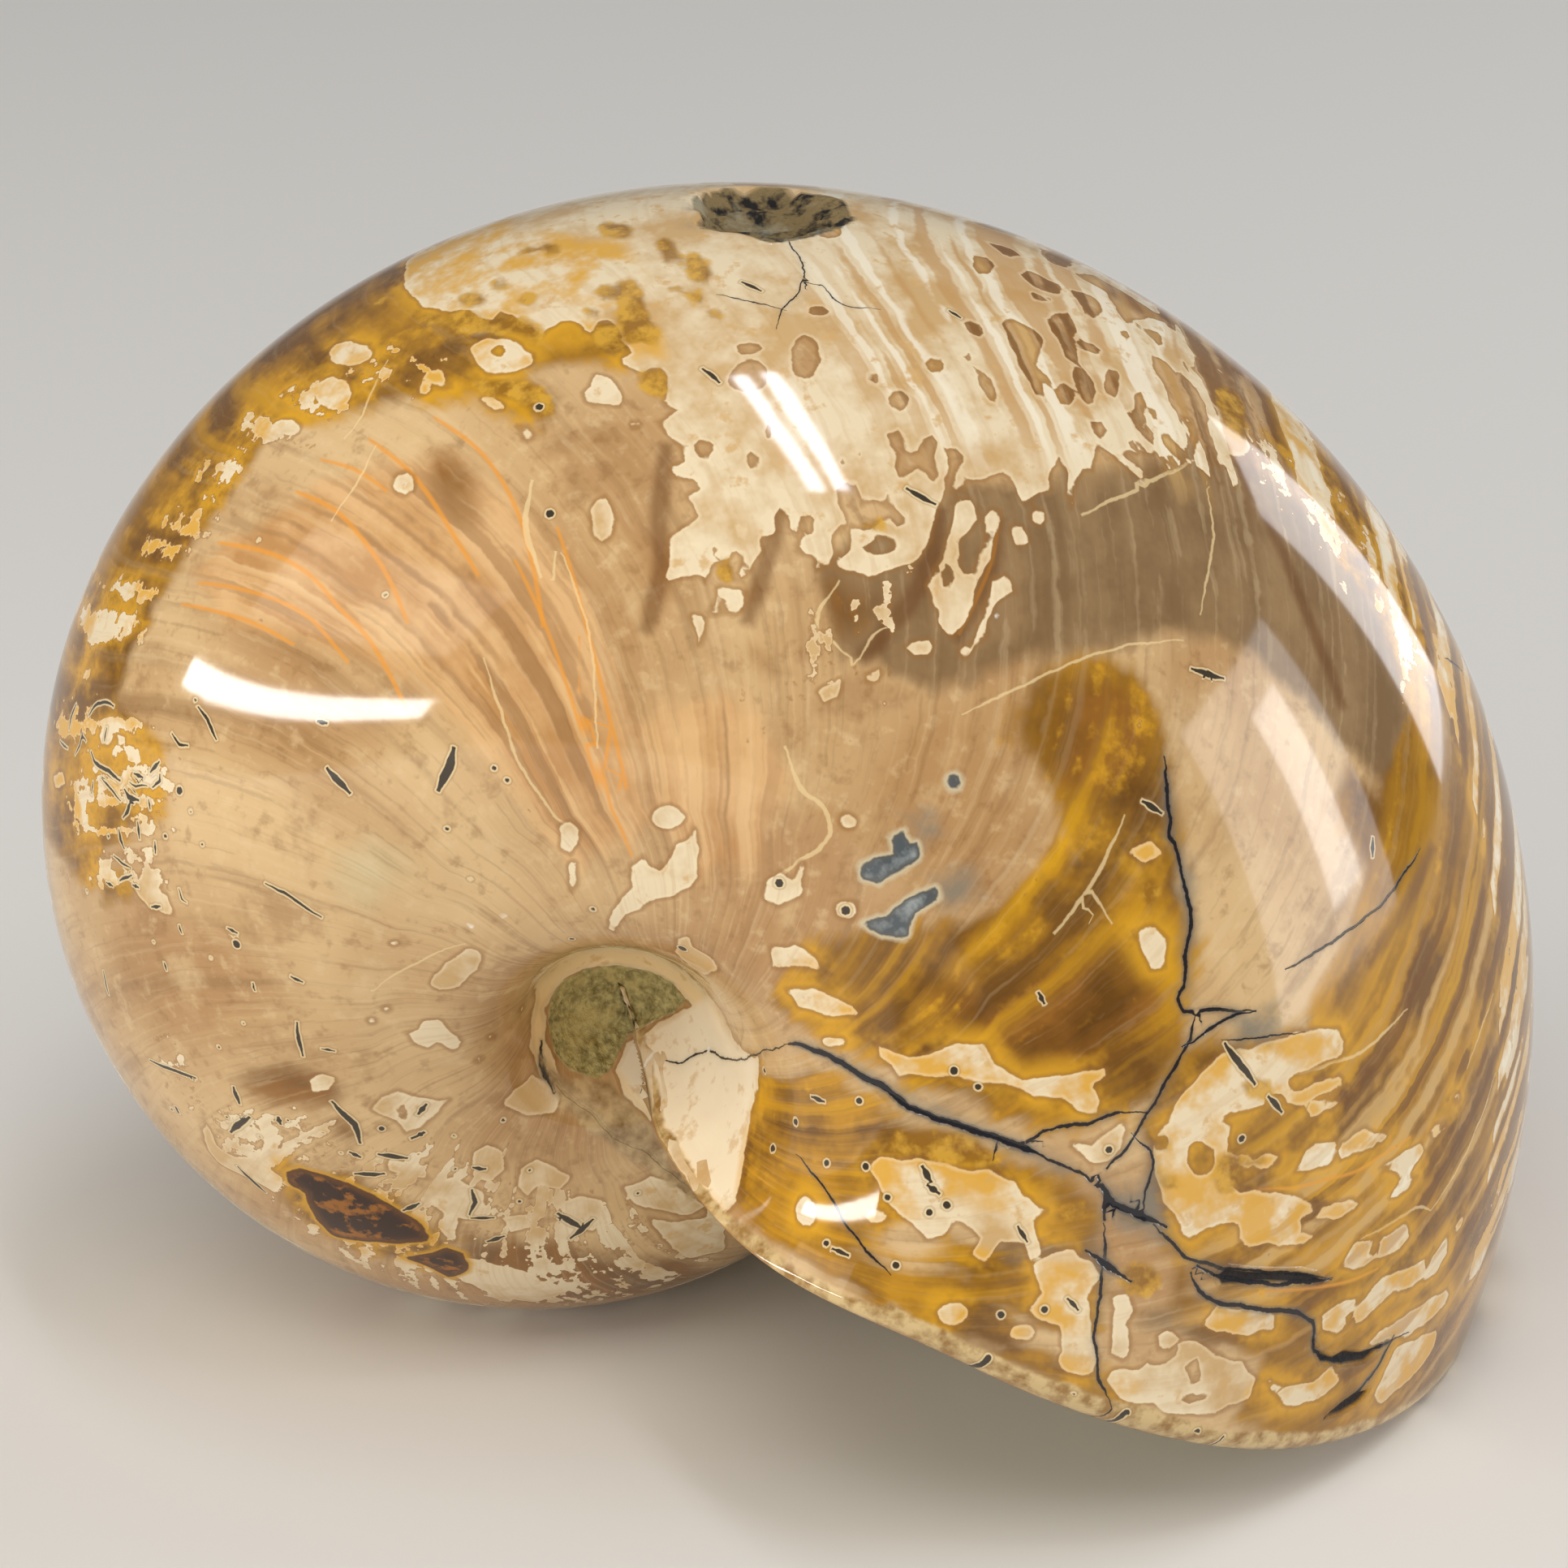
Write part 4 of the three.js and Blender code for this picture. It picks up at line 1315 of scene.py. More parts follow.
OFF_ROCK, ALL_SHELL = -0.3, 1.0      # mm: by the pocket the lip's edge is shell, where it is off the rock
rim = to_line(in_picture, by_picture["rim"], NOTICE)
rim_edge = np.where(seen_here, rim[:, 1] - rim[:, 2], -NOTICE) / MM
pocket_rock, pocket_wall = by_the_pocket("rock"), by_the_pocket("wall")
cream = np.maximum.reduce([edge_of("cream"), edge_of("band"), rim_edge, pocket_wall])
cream = np.minimum(cream, -edge_of("hole"))
cream = np.where(at_the_rim & (pocket_rock < OFF_ROCK), ALL_SHELL, cream)

measured = {name: line_of(name) for name in lines}
pocket_crack = to_line(in_picture, by_picture["crack"], NOTICE_LINE) / MM
crack_gap, pocket_gap = (values[:, 2] - values[:, 1] for values in (measured["crack"], pocket_crack))
nearer = seen_here & (pocket_gap < crack_gap)
measured["crack"][nearer] = pocket_crack[nearer]
white = to_line(spots, white_dots, NOTICE_LINE) / MM
print(round(100 * float((cream > 0).mean())), "% of the points are cream shell wall")

# %% Count along the growth lines
STRIPE_RADIUS = 80         # mm from the axis, where growth lines are counted in millimetres
SWEEP, SWEEP_TO, SWEEP_POWER = 0.62, 1.25, 2.0     # growth lines sweep back by this towards the venter
KEEL_ROUND = 0.35          # they turn round on the venter over this much of the chart
OVER_MM = (-145, -125, -90, 0, 90, 125, 145)       # about how far across lies over the section, in mm
STRIPED_TO, STRIPED_FADE = 1.35, 0.4               # radians behind the lip where the band is striped
BAND_NOTICE, BAND_FADE = 8 * MM, 4                 # the stripes fade over so many mm of the band's edge
NO_LIP = 99                # mm, for what lies in the mouth

bend = np.hypot(across, KEEL_ROUND) - KEEL_ROUND
growth = turn - SWEEP * np.maximum(1 - bend / SWEEP_TO, 0) ** SWEEP_POWER
over_mm = np.interp(across, range(-3, 4), OVER_MM)
striped_share = np.clip(edge_of("band", BAND_NOTICE) / BAND_FADE + 0.5, 0, 1)
striped_share *= np.clip((STRIPED_TO - turn) / STRIPED_FADE, 0, 1)
back_along = turn * np.linalg.norm(slopes(turn, np.clip(across, -CHART_END, CHART_END))[0], axis=1)
lip_distance = np.where(on_skin, np.where(roll == 0, back_along, -roll * LIP_ROUND) / MM, NO_LIP)
print("growth lines are counted from", round(float(growth.min() * STRIPE_RADIUS)), "to",
      round(float(growth.max() * STRIPE_RADIUS)), "mm")

# %% Sink the rough places
PIT_CENTRE = Vector((16.2, -1, 73.4)) * MM        # from the coil axis
PIT_SIZE = (7.2 * MM, 7.6 * MM, 4.0 * MM)
PIT_WANDER = 0.22          # how far its edge wanders, as a share of its size
PIT_STAIN, PIT_STAIN_FADE = 1.06, 0.12            # its stain ends here, as shares of its size
ROCK_GRAIN, ROCK_LUMP = 1.3 * MM, 4               # lumps are so many grains across
GRAIN_DROP, GRAIN_STEP, GRAIN_LAYERS = 0.9, 2.1, 4
ROCK_SUNK, CRACK_SUNK, SLIT_DEPTH = 0.3 * MM, 0.35 * MM, 0.5 * MM
ROCK_RISE, MOUTH_RISE, PIT_RISE = 0.35 * MM, 0.8 * MM, 0.9 * MM
MOUTH_GRAIN, MOUTH_LUMP, MOUTH_FADE = 0.6, 1.2, 4
ROCK_FADE, SLIT_FADE, SLIT_WIDER, CRACK_FADE = 0.6, 0.5, 0.3, 0.3      # mm, and the third is a share
WIDE_FROM, WIDE_OVER = 0.25, 0.2                  # mm, half the width of a crack that is sunk

points = numbers(mesh)
grain = np.array([noise.fractal(Vector(p) / ROCK_GRAIN, GRAIN_DROP, GRAIN_STEP, GRAIN_LAYERS)
                  for p in points])
lump = np.array([noise.noise(Vector(p) / (ROCK_LUMP * ROCK_GRAIN)) for p in points])
rock_here = np.clip(pocket_rock / ROCK_FADE + 0.5, 0, 1)
slit_here = np.clip(edge_of("slit") / SLIT_FADE + SLIT_WIDER, 0, 1)
into_mouth = np.clip(np.where(share > 0.5, 1 - share, share) * MOUTH_FADE, 0, 0.5)
mouth_here = np.where(on_skin, 0, np.sin(np.pi * into_mouth))
one_set, other_set = measured["crack"], measured["crack_too"]
_, half, distance = np.where(one_set[:, 2:] < other_set[:, 2:], one_set, other_set).T
wide_crack = np.clip((half - WIDE_FROM) / WIDE_OVER, 0, 1)
wide_crack *= np.clip(1 - (distance - half) / CRACK_FADE, 0, 1)

sink = rock_here * (ROCK_SUNK - ROCK_RISE * grain - ROCK_RISE * lump)
sink += mouth_here * MOUTH_RISE * (MOUTH_GRAIN * grain + MOUTH_LUMP * lump)
sink += slit_here * SLIT_DEPTH + wide_crack * CRACK_SUNK * (1 - slit_here)
points = points - normals * sink[:, None]

flat = (from_axis - np.array(PIT_CENTRE)) / np.array(PIT_SIZE)
ring = np.hypot(flat[:, 0], flat[:, 1]) * (1 + PIT_WANDER * lump)
on_top = from_axis[:, 2] > 0
bottom = coil_axis.z + PIT_CENTRE.z - PIT_SIZE[2] * np.sqrt(np.maximum(1 - ring ** 2, 0)) + PIT_RISE * grain
in_pit = (ring < 1) & on_top
points[:, 2] = np.where(in_pit, np.minimum(points[:, 2], bottom), points[:, 2])
points = np.clip(points, np.array(low_corner), np.array(high_corner))
mesh.vertices.foreach_set("co", points.astype(np.float32).ravel())
mesh.update()
pit_depth = (coil_axis.z + from_axis[in_pit, 2] - points[in_pit, 2]).max() / MM
print("the pit is", round(float(pit_depth), 1), "mm deep at most")

# %% Keep the measures on the mesh
pit_here = np.where(on_top, np.clip((PIT_STAIN - ring) / PIT_STAIN_FADE, 0, 1), 0)
rough_here = np.maximum(rock_here, np.where(on_skin | at_the_rim, 0, 1))


def keep(name, *values):
    """Keep three measures of every point as one attribute."""
    attribute = mesh.attributes.new(name, "FLOAT_VECTOR", "POINT")
    attribute.data.foreach_set("vector", np.stack(values, axis=1).astype(np.float32).ravel())


keep("flow", growth * STRIPE_RADIUS, over_mm, striped_share)
keep("cream", cream, edge_of("amber_spot"), unseen)
keep("broad", broad("amber"), broad("grey"), broad("peach"))
keep("broad_too", broad("green"), broad("brown"), broad("slate_haze"))
keep("by_pocket", by_the_pocket("earth"), broad("speckled"), broad("ribbed"))
keep("by_rim", rim_edge, pocket_wall, lip_distance)
keep("edges", edge_of("slate"), edge_of("window"), edge_of("slit"))
keep("rough", rough_here, pit_here, white[:, 0] - white[:, 1])
for name, values in measured.items():
    keep(name, *values.T)
print("the mesh keeps", [a.name for a in mesh.attributes if a.data_type == "FLOAT_VECTOR"])

# %% [markdown]
# ## The stone
# It is limestone and calcite, polished with fine grit to a gloss, so it has calcite's IOR and a very low
# roughness. Its colour is built the way the stone was: cloudy rock first, then the broad stains of iron, then
# the growth lines, and last the shell wall, which survives as cream patches with thin brown rims. Some light
# is
# painted in too: shade at the bottom and on the lip, a reflection in the brown, a brighter pocket rim and a
# glint.

# %% One helper that adds a node
stone = bpy.data.materials.new("polished_limestone")
stone.use_nodes = True
tree = stone.node_tree
tree.nodes.clear()
shell.data.materials.append(stone)


def linear(hex_colour):
    """An sRGB hex colour as the linear colour that the renderer works in."""
    shares = [int(hex_colour[i:i + 2], 16) / 255 for i in (1, 3, 5)]
    return [s / 12.92 if s <= 0.04045 else ((s + 0.055) / 1.055) ** 2.4 for s in shares] + [1.0]


def add(kind, inputs, **settings):
    """Add one node, set it up, and fill its inputs with nodes, sockets, hex colours or numbers."""
    node = tree.nodes.new("ShaderNode" + kind)
    for name, value in settings.items():
        setattr(node, name, value)
    for key, value in inputs.items():
        if isinstance(value, bpy.types.Node):
            value = next(socket for socket in value.outputs if socket.enabled)
        if isinstance(value, bpy.types.NodeSocket):
            tree.links.new(value, node.inputs[key])
        else:
            node.inputs[key].default_value = linear(value) if isinstance(value, str) else value
    return node


# %% Three things that the stone's colour does again and again
def read(name):
    """The three measures that an attribute of the mesh keeps."""
    split = add("SeparateXYZ", {0: add("Attribute", {}, attribute_name=name).outputs["Vector"]})
    return split.outputs[0], split.outputs[1], split.outputs[2]


def coat(under, colour, value, low, high, strength=1.0, within=None, smooth=False):
    """Lay a colour over another as a value goes from low to high, and only as far as a share allows."""
    cover = add("MapRange", {0: value, 1: low, 2: high, 4: strength},
                interpolation_type="SMOOTHSTEP" if smooth else "LINEAR")
    if within is not None:
        cover = add("Math", {0: cover, 1: within}, operation="MULTIPLY")
    return add("Mix", {0: cover, 6: under, 7: colour}, data_type="RGBA")


def shifted(edge, value, middle, by):
    """A measured edge, moved by so many mm for each 1 that a value is above its middle."""
    above = add("Math", {0: value, 1: middle}, operation="SUBTRACT")
    return add("Math", {0: above, 1: by, 2: edge}, operation="MULTIPLY_ADD")


# %% Read the measures
striped = read("flow")[2]
cream_edge, amber_spot_edge, unseen_share = read("cream")
amber_share, grey_share, peach_share = read("broad")
green_share, brown_share, haze_share = read("broad_too")
earth_edge, speckled_share, ribbed_share = read("by_pocket")
pocket_rim_edge, shoulder_edge, lip_mm = read("by_rim")
slate_edge, window_edge, slit_edge = read("edges")
rough_share, pit_share, white_edge = read("rough")
print("the stone reads", sum(node.type == "ATTRIBUTE" for node in tree.nodes), "attributes")

# %% [markdown]
# Noise gives the stone its clouds. One kind is counted in millimetres through the block, and the other along
# the growth lines, stretched many times over, which draws streaks that fan out from the pocket.

# %% Clouds and streaks
PER_METRE = 1 / MM
block = add("TexCoord", {}).outputs["Object"]
flow = add("Attribute", {}, attribute_name="flow").outputs["Vector"]

# size in mm, detail and roughness of each kind of cloud
CLOUDS = {"wide": (26, 2, 0.55), "middle": (8, 4, 0.6), "small": (2.2, 3, 0.6), "grain": (0.7, 2, 0.6)}
clouds = {}
for name, (size_mm, detail, rough) in CLOUDS.items():
    clouds[name] = add("TexNoise", {"Vector": block, "Scale": PER_METRE / size_mm, "Detail": detail,
                                    "Roughness": rough})
# how far each kind of streak is shrunk over the section, its width in mm and its detail
STREAKS = {"broad": (0.10, 7.0, 3), "fine": (0.035, 1.5, 2), "bands": (0.045, 3.4, 1)}
STREAK_ROUGH, STREAK_BEND = 0.55, (3.0, 3.0, 0)      # the clouds bend the streaks by so many mm
streaks = {}
for name, (stretch, size_mm, detail) in STREAKS.items():
    drawn = add("VectorMath", {0: flow, 1: (1, stretch, 0)}, operation="MULTIPLY")
    bent = add("VectorMath", {0: clouds["middle"].outputs["Color"], 1: STREAK_BEND, 2: drawn},
               operation="MULTIPLY_ADD")
    streaks[name] = add("TexNoise", {"Vector": bent, "Scale": 1 / size_mm, "Detail": detail,
                                     "Roughness": STREAK_ROUGH})
ragged = add("Math", {0: clouds["middle"], 1: streaks["broad"]}, operation="ADD")
print("clouds:", ", ".join(clouds), "and streaks:", ", ".join(streaks))

# %% Cloudy rock: value, from, to, colour, strength
ground = coat("#B58B5A", "#D8B684", clouds["wide"], 0.38, 0.62)
for value, low, high, colour, strength in (
        (streaks["broad"], 0.52, 0.76, "#D6B27C", 0.55), (streaks["broad"], 0.46, 0.28, "#8F6A40", 0.50),
        (clouds["middle"], 0.56, 0.74, "#DCBD8C", 0.55), (clouds["middle"], 0.42, 0.28, "#94693C", 0.45),
        (clouds["small"], 0.54, 0.72, "#E2C494", 0.40), (clouds["small"], 0.46, 0.28, "#8E6434", 0.40)):
    ground = coat(ground, colour, value, low, high, strength, smooth=True)
print("cloudy rock:", len(tree.nodes), "nodes so far")

# %% Broad stains of iron and clay; the brown also carries painted shade and a painted reflection
STAIN_WANDER, STAIN_STRENGTH = 0.8, 0.94
# where each stain lies, its darker and its lighter tone, and the values between which it sets in
STAINS_AND_PAINTED_LIGHT = {
    "grey": (grey_share, "#7A5E3C", "#967852", 1.08, 1.42),
    "peach": (peach_share, "#BE8C54", "#DCB07A", 1.08, 1.42),
    "green": (green_share, "#BEA878", "#D2BE92", 1.40, 2.10),
    "amber": (amber_share, "#6E4604", "#BA8306", 1.08, 1.42),
    "brown": (brown_share, "#5E3A08", "#8E5C1E", 1.26, 1.80)}
stain_and_painted_light_shares = {}
for name, (share_node, dark, light, low, high) in STAINS_AND_PAINTED_LIGHT.items():
    wandering = add("Math", {0: ragged, 1: STAIN_WANDER, 2: share_node}, operation="MULTIPLY_ADD")
    stain_and_painted_light_shares[name] = add("MapRange", {0: wandering, 1: low, 2: high, 4: STAIN_STRENGTH},
                             interpolation_type="SMOOTHSTEP")
    tone = coat(dark, light, ragged, 0.84, 1.16)
    ground = add("Mix", {0: stain_and_painted_light_shares[name], 6: ground, 7: tone}, data_type="RGBA")
on_amber = stain_and_painted_light_shares["amber"]
ground = coat(ground, "#D09A14", streaks["broad"], 0.56, 0.73, within=on_amber)
ground = coat(ground, "#8C6010", clouds["wide"], 0.50, 0.36, 0.5, within=on_amber)
print("stains:", ", ".join(stain_and_painted_light_shares))

# %% Growth lines: broad ones on the peach and the ribbed places, and fine ones all over
for within, low, high, colour, strength in (
        (peach_share, 0.47, 0.38, "#9A7146", 0.60), (peach_share, 0.54, 0.62, "#EBC48C", 0.50),
        (ribbed_share, 0.53, 0.59, "#BC8E48", 0.60), (ribbed_share, 0.47, 0.40, "#70440C", 0.75),
        (ribbed_share, 0.60, 0.66, "#DDB878", 0.50)):
    ground = coat(ground, colour, streaks["bands"], low, high, strength, within, smooth=True)
fainter_on_amber = add("MapRange", {0: on_amber, 3: 0.24, 4: 0.10})
ground = coat(ground, "#E2C79A", streaks["fine"], 0.52, 0.72, fainter_on_amber, smooth=True)
ground = coat(ground, "#7C5A34", streaks["fine"], 0.46, 0.28, 0.26, smooth=True)
print("growth lines:", len(tree.nodes), "nodes so far")

# %% Orange arcs, dark grooves and pale veins
CELL_SLACK = 0.6       # mm: the whole distance is only this sharp, so it just ends the line


def beyond_line(name, wobble, slack=CELL_SLACK):
    """How far beyond the edge of the nearest line of a group, in mm, and half that line's width."""
    offset, half, whole = read(name)
    aside = add("Math", {0: shifted(offset, clouds["small"], 0.5, wobble)}, operation="ABSOLUTE")
    beside = add("Math", {0: aside, 1: half}, operation="SUBTRACT")
    past = add("Math", {0: whole, 1: half}, operation="SUBTRACT")
    past = add("Math", {0: past, 1: slack}, operation="SUBTRACT")
    return add("Math", {0: beside, 1: past}, operation="MAXIMUM"), half


for name, wobble, slack, softness, colour, strength in (("arc", 0.06, 0.8, 0.26, "#E89A34", 0.72),
                                                        ("arc_too", 0.06, 0.8, 0.26, "#E89A34", 0.72),
                                                        ("groove", 0.6, CELL_SLACK, 1.1, "#65390E", 0.55),
                                                        ("vein", 0.7, 1.6, 0.10, "#EBD09A", 0.65)):
    ground = coat(ground, colour, beyond_line(name, wobble, slack)[0], softness, -0.05, strength, smooth=True)
print("arcs, grooves and veins:", len(tree.nodes), "nodes so far")

# %% [markdown]
# The shell wall is a few tenths of a millimetre of cream calcite, worn through in holes. Its edge is wavy,
# because the stain crept in from every pore, so the measured edge is shifted by round cells and by noise.

# %% The edge of the cream shell wall
PORE_MM, CREEP = 2.4, 0.45       # size of the round cells, and how far they shift the edge
pores = add("TexVoronoi", {"Vector": block, "Scale": PER_METRE / PORE_MM, "Randomness": 1.0}, feature="F1")
crept = shifted(shifted(cream_edge, pores, 0.42, CREEP), clouds["small"], 0.5, 0.8)
patchy = shifted(shifted(0.0, clouds["middle"], 0.55, 30.0), streaks["bands"], 0.52, 12.0)
wall_edge = add("Mix", {0: add("MapRange", {0: unseen_share, 1: 0.35, 2: 0.75}), 2: crept, 3: patchy})

# where the band is striped, the streaks cut it into stripes
cut = add("MapRange", {0: streaks["bands"], 1: 0.46, 2: 0.56, 3: -4.0, 4: 3.0})
cut = add("Math", {0: cut, 1: wall_edge}, operation="MINIMUM")
cut = add("Math", {0: cut, 1: wall_edge}, operation="SUBTRACT")
wall_edge = add("Math", {0: cut, 1: striped, 2: wall_edge}, operation="MULTIPLY_ADD")

# and where the rock is speckled, small pieces of wall are left
speck = add("Math", {0: clouds["small"], 1: streaks["bands"]}, operation="ADD")
speck = shifted(add("MapRange", {0: speckled_share, 3: -3.0, 4: 0.0}), speck, 1.04, 7.0)
wall_edge = add("Math", {0: wall_edge, 1: speck}, operation="MAXIMUM")
print("the wall's edge:", len(tree.nodes), "nodes so far")

# %% The colour of the cream shell wall
wall_tone = coat("#CFAB76", "#E9D6B2", clouds["middle"], 0.38, 0.56)
for colour, value, low, high, strength, within, smooth in (
        ("#C99E64", streaks["fine"], 0.50, 0.36, 0.25, None, False),
        ("#C6995E", streaks["bands"], 0.46, 0.40, 0.75, ribbed_share, True),
        ("#F6EBD2", streaks["bands"], 0.56, 0.62, 0.75, ribbed_share, True),
        ("#D9B07A", clouds["small"], 0.40, 0.30, 0.6, None, False),
        ("#DFA83A", clouds["middle"], 0.58, 0.46, 0.92, on_amber, False),      # honey, over amber
        # the pocket's rim is its own peach cream, laid brighter as painted light against the shade in the
        # pocket
        ("#FADCA6", pocket_rim_edge, -0.2, 0.6, 0.85, None, False),
        ("#F8EACC", shoulder_edge, -0.2, 0.6, 0.85, None, False),
        ("#D2A868", clouds["small"], 0.42, 0.32, 0.5, None, False),
        ("#F4E2BC", wall_edge, 0.45, 0.12, 0.35, None, True)):                 # pale just inside its edge
    wall_tone = coat(wall_tone, colour, value, low, high, strength, within, smooth)

glowing = add("MapRange", {0: clouds["middle"], 1: 0.42, 2: 0.56})
glowing = add("Math", {0: glowing, 1: on_amber}, operation="MULTIPLY")
ground = coat(ground, "#E2A826", wall_edge, -2.6, -0.1, 0.75, glowing, smooth=True)
ground = coat(ground, "#94652E", wall_edge, -0.55, -0.05, 0.55, smooth=True)
ground = coat(ground, wall_tone, wall_edge, -0.06, 0.10, smooth=True)
print("the wall:", len(tree.nodes), "nodes so far")

# %% Amber spots on the wall, the cream lip with painted shade, and painted shade under its roll
spot_tone = coat("#93651A", "#D2A036", clouds["small"], 0.40, 0.60)
spot_edge = shifted(amber_spot_edge, clouds["small"], 0.5, 2.0)
ground = coat(ground, spot_tone, spot_edge, -0.5, 0.3, 0.9, smooth=True)
# the rolled lip is laid darker than its cream, as painted shade, and #A67A44 further round the roll is
# painted shade under the lip
lip_tone_with_painted_shade = coat("#9C7640", "#D4B882", clouds["small"], 0.38, 0.58)
lip_wander = add("Math", {0: clouds["middle"], 1: -4.0, 2: lip_mm}, operation="MULTIPLY_ADD")
ground = coat(ground, lip_tone_with_painted_shade, lip_wander, -1.0, -1.6, smooth=True)
ground = coat(ground, "#A67A44", lip_wander, -3.6, -4.6, 0.8, smooth=True)
print("spots and lip:", len(tree.nodes), "nodes so far")

# %% Slate-blue bones in their haze, and red-brown windows into clear calcite with a painted glint inside
haze = add("Math", {0: clouds["small"], 1: 0.5, 2: haze_share}, operation="MULTIPLY_ADD")
ground = coat(ground, "#74736A", haze, 0.65, 1.15, 0.8, smooth=True)
bone_tone = coat("#51585C", "#969C9A", clouds["small"], 0.40, 0.62)
for edge, wobble, strength, layers in (
        (slate_edge, 0.9, 0.90, ((-0.55, -0.15, "#CDBE9C"), (-0.12, 0.05, "#3F464C"), (0.1, 0.5, bone_tone))),
        (window_edge, 0.7, 0.92, ((-0.8, -0.2, "#D09A1C"), (-0.12, 0.05, "#461802"), (0.3, 1.2, "#260A00")))):
    wandering = shifted(edge, clouds["small"], 0.5, wobble)
    for low, high, colour in layers:
        ground = coat(ground, colour, wandering, low, high, strength)
# amber patches deep in the windows are a painted glint of light inside the clear calcite
glint_deep_in_window = add("MapRange", {0: window_edge, 1: 0.2, 2: 0.9})
ground = coat(ground, "#A8660C", clouds["small"], 0.54, 0.64, 0.8, glint_deep_in_window)
print("bones and windows:", len(tree.nodes), "nodes so far")

# %% Borings with pale rims, cracks with a blue-grey halo, and open slits
# each layer: from and to in mm beyond the line's edge, colour, strength, and whether only wide lines have it
BORING_LAYERS = ((0.42, 0.22, "#8E683A", 0.35, False), (0.24, 0.12, "#EAD3A4", 0.75, False),
                 (0.06, -0.03, "#1E1612", 0.95, False))
CRACK_LAYERS = ((1.1, 0.2, "#7A7058", 0.30, True), (0.35, 0.05, "#4A4F55", 0.6, True),
                (0.05, -0.05, "#15141A", 0.97, False))
for name, wobble, slack, layers in (("boring", 0.5, 0.25, BORING_LAYERS),
                                    ("crack_too", 0.9, CELL_SLACK, CRACK_LAYERS),
                                    ("crack", 0.9, CELL_SLACK, CRACK_LAYERS)):
    outside, half = beyond_line(name, wobble, slack)
    wide = add("MapRange", {0: half, 1: 0.05, 2: 0.25})
    for far, near, colour, strength, if_wide in layers:
        ground = coat(ground, colour, outside, far, near, strength, wide if if_wide else None, smooth=True)
crack_share = add("MapRange", {0: outside, 1: 0.05, 2: -0.05, 4: 0.97}, interpolation_type="SMOOTHSTEP")
ground = coat(ground, "#131116", slit_edge, -0.15, 0.15, 0.96)
print("borings, cracks and slits:", len(tree.nodes), "nodes so far")

# %% White calcite dots, earth between the whorls, rough rock and the pit
earth_tone = coat("#8A6C42", "#CFB384", clouds["small"], 0.34, 0.66)
earth_wander = shifted(earth_edge, clouds["small"], 0.5, 2.0)
rock_tone = coat("#7C7040", "#C2B578", clouds["grain"], 0.32, 0.66)
rock_tone = coat(rock_tone, "#CBB878", clouds["middle"], 0.55, 0.65, 0.7)
pit_tone = coat("#1B1612", "#836F48", clouds["small"], 0.38, 0.52)
pit_tone = coat(pit_tone, "#A39A80", clouds["middle"], 0.52, 0.60, 0.75)
for colour, value, low, high, strength in (("#F8F2E4", white_edge, 0.15, -0.1, 0.9),
                                           (earth_tone, earth_wander, -0.2, 0.3, 0.9),
                                           (rock_tone, rough_share, 0.35, 0.65, 1.0),
                                           (pit_tone, pit_share, 0.3, 0.6, 1.0)):
    ground = coat(ground, colour, value, low, high, strength)
print("dots, earth, rock and pit:", len(tree.nodes), "nodes so far")

# %% Polish it, and leave the rough places matt
POLISHED, MATT = 0.07, 0.8
CALCITE_IOR = 1.55
GRAIN_DEPTH, GRAIN_SHOWS, CRACK_DROP = 0.8 * MM, 0.5, -0.3
matt_share = 0.0
for value, low, high in ((rough_share, 0.35, 0.65), (pit_share, 0.3, 0.6), (slit_edge, -0.6, -0.2)):
    matt_here = add("MapRange", {0: value, 1: low, 2: high})
    matt_share = add("Math", {0: matt_here, 1: matt_share}, operation="MAXIMUM")
gloss = add("MapRange", {0: matt_share, 3: POLISHED, 4: MATT})
height = add("Math", {0: clouds["grain"], 1: matt_share}, operation="MULTIPLY")
height = add("Math", {0: crack_share, 1: CRACK_DROP, 2: height}, operation="MULTIPLY_ADD")
bump = add("Bump", {"Strength": GRAIN_SHOWS, "Distance": GRAIN_DEPTH, "Height": height})
surface = add("BsdfPrincipled", {"Base Color": ground, "Roughness": gloss, "IOR": CALCITE_IOR,
                                 "Normal": bump})
add("OutputMaterial", {"Surface": surface})
print("the stone has", len(tree.nodes), "nodes")


# %% [markdown]
# ## The floor and the light
# A polished stone shows the lamps of the room as bright streaks, so each lamp is placed by where its streak
# lies on the shell: a long tube low on the left, a pair of short tubes overhead, and soft windows on the
# right. Two large soft boxes light the shell and don't show in it. The floor is plain, pale and matt, and
# it reaches far beyond what the camera sees, so that no horizon shows.

# %% Lay the floor and hang the lamps
FLOOR_REACH = 4.0
FLOOR_COLOUR = "#E4E1DB"
ROOM_COLOUR, ROOM_STRENGTH = "#E4E8EE", 0.24
GLOSSY_TO = 1.0        # square metres: larger lamps only light the shell softly, and show no reflection


def point_at(thing, target, along):
    """Turn a lamp so that it shines at a place, with its width lying along a direction."""
    away = (thing.location - Vector(target)).normalized()
    upright = away.cross(Vector(along)).normalized()
    thing.rotation_euler = Matrix((upright.cross(away), upright, away)).transposed().to_euler()


bpy.ops.object.select_all(action="DESELECT")
bpy.ops.mesh.primitive_plane_add(size=2 * FLOOR_REACH)
floor = bpy.context.object
floor.name = "pale_floor"
matt = bpy.data.materials.new("matt_pale_floor")
matt.use_nodes = True
matt_inputs = matt.node_tree.nodes["Principled BSDF"].inputs
for name, value in (("Base Color", linear(FLOOR_COLOUR)), ("Roughness", 0.9), ("Specular IOR Level", 0.1)):
    matt_inputs[name].default_value = value
floor.data.materials.append(matt)

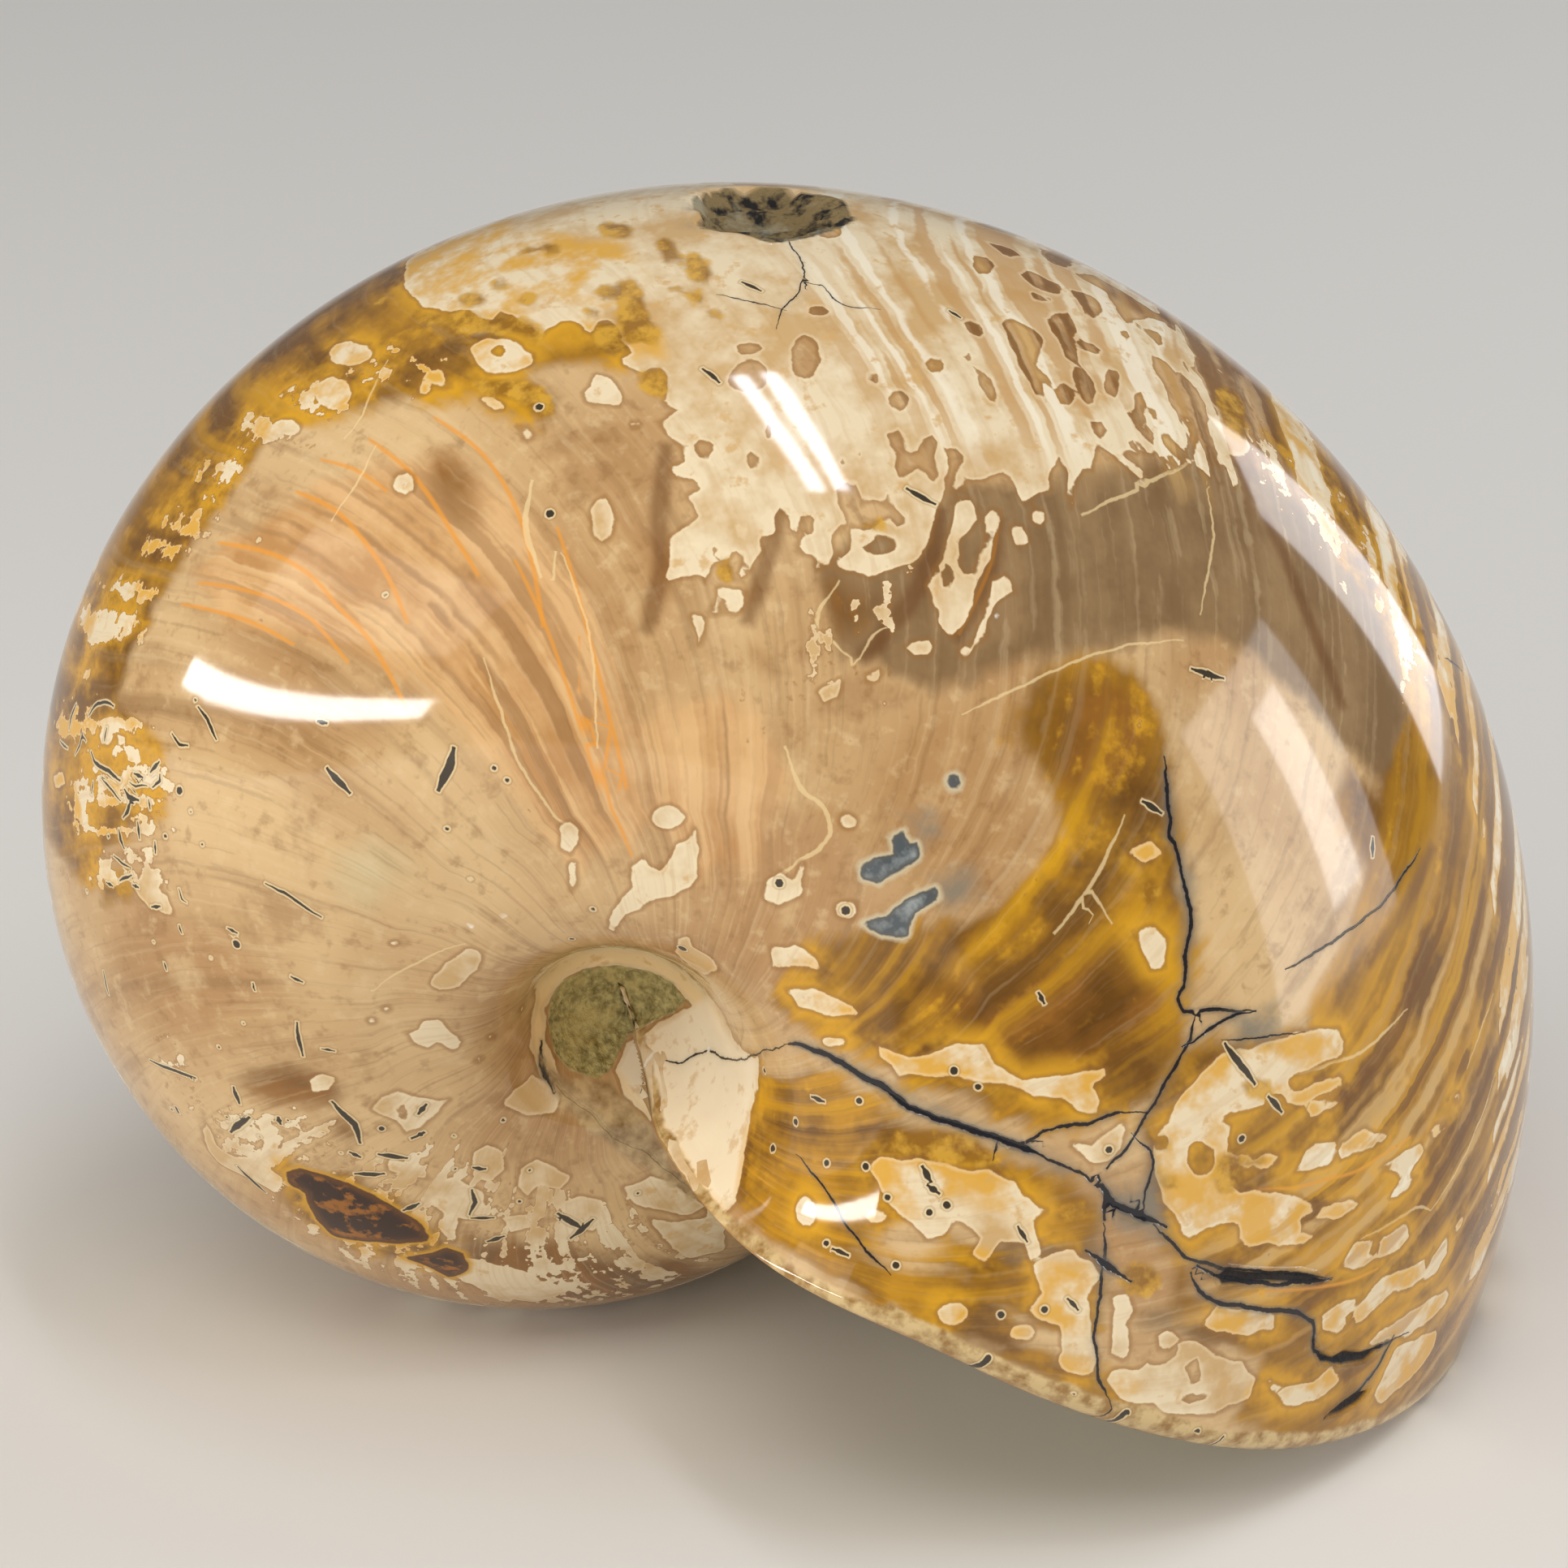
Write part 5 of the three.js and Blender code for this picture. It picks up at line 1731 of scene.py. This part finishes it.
# name: place from the coil axis, direction of its width, width and height in metres, watts, colour
LAMPS = {
    "long_tube_on_the_left": ((-1.00, -0.42, 0.19), (0.35, -0.94, 0), (1.05, 0.085), 5.0, "#FFFFFF"),
    "first_tube_overhead": ((0.09, -0.20, 1.0), (0.28, -0.96, 0), (0.46, 0.035), 1.1, "#EEF3FF"),
    "second_tube_overhead": ((0.15, -0.18, 1.0), (0.28, -0.96, 0), (0.46, 0.035), 1.1, "#EEF3FF"),
    "window_on_the_right": ((0.80, 0.52, 0.12), (0, 0, 1), (0.62, 0.26), 2.2, "#F4F6FA"),
    "soft_panel_on_the_right": ((1.05, -0.22, 0.14), (0, 0, 1), (0.75, 0.62), 4.2, "#EEF0F4"),
    "bright_gap_in_the_panel": ((0.98, -0.13, 0.22), (0, 0, 1), (0.34, 0.15), 0.8, "#FFFFFF"),
    "soft_panel_on_the_left": ((-0.95, -0.45, 0.60), (0.4, -0.9, 0), (0.9, 0.34), 1.3, "#FFF8EE"),
    "high_soft_box": ((-0.1, -0.9, 1.6), (1, 0, 0), (1.4, 0.9), 12.6, "#FFF9F0"),
    "soft_fill_in_front": ((-0.35, -1.5, 0.35), (1, 0, 0), (1.2, 0.9), 4.6, "#FFF9F0"),
}
for name, (where, along, (wide, high), watts, colour) in LAMPS.items():
    bpy.ops.object.light_add(type="AREA", location=Vector(where) + coil_axis)
    lamp = bpy.context.object
    lamp.name = name
    lamp.data.shape = "RECTANGLE"
    lamp.data.size, lamp.data.size_y = wide, high
    lamp.data.energy = watts
    lamp.data.color = linear(colour)[:3]
    point_at(lamp, coil_axis, along)
    lamp.visible_glossy = wide * high < GLOSSY_TO

print("lamps:", ", ".join(LAMPS))

world = bpy.data.worlds.new("soft_room")
bpy.context.scene.world = world
world.use_nodes = True
background = world.node_tree.nodes["Background"].inputs
background["Color"].default_value = linear(ROOM_COLOUR)
background["Strength"].default_value = ROOM_STRENGTH
bpy.context.scene.view_settings.view_transform = "Standard"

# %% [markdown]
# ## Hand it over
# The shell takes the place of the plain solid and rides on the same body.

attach(shell, "root")
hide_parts("nautilus")
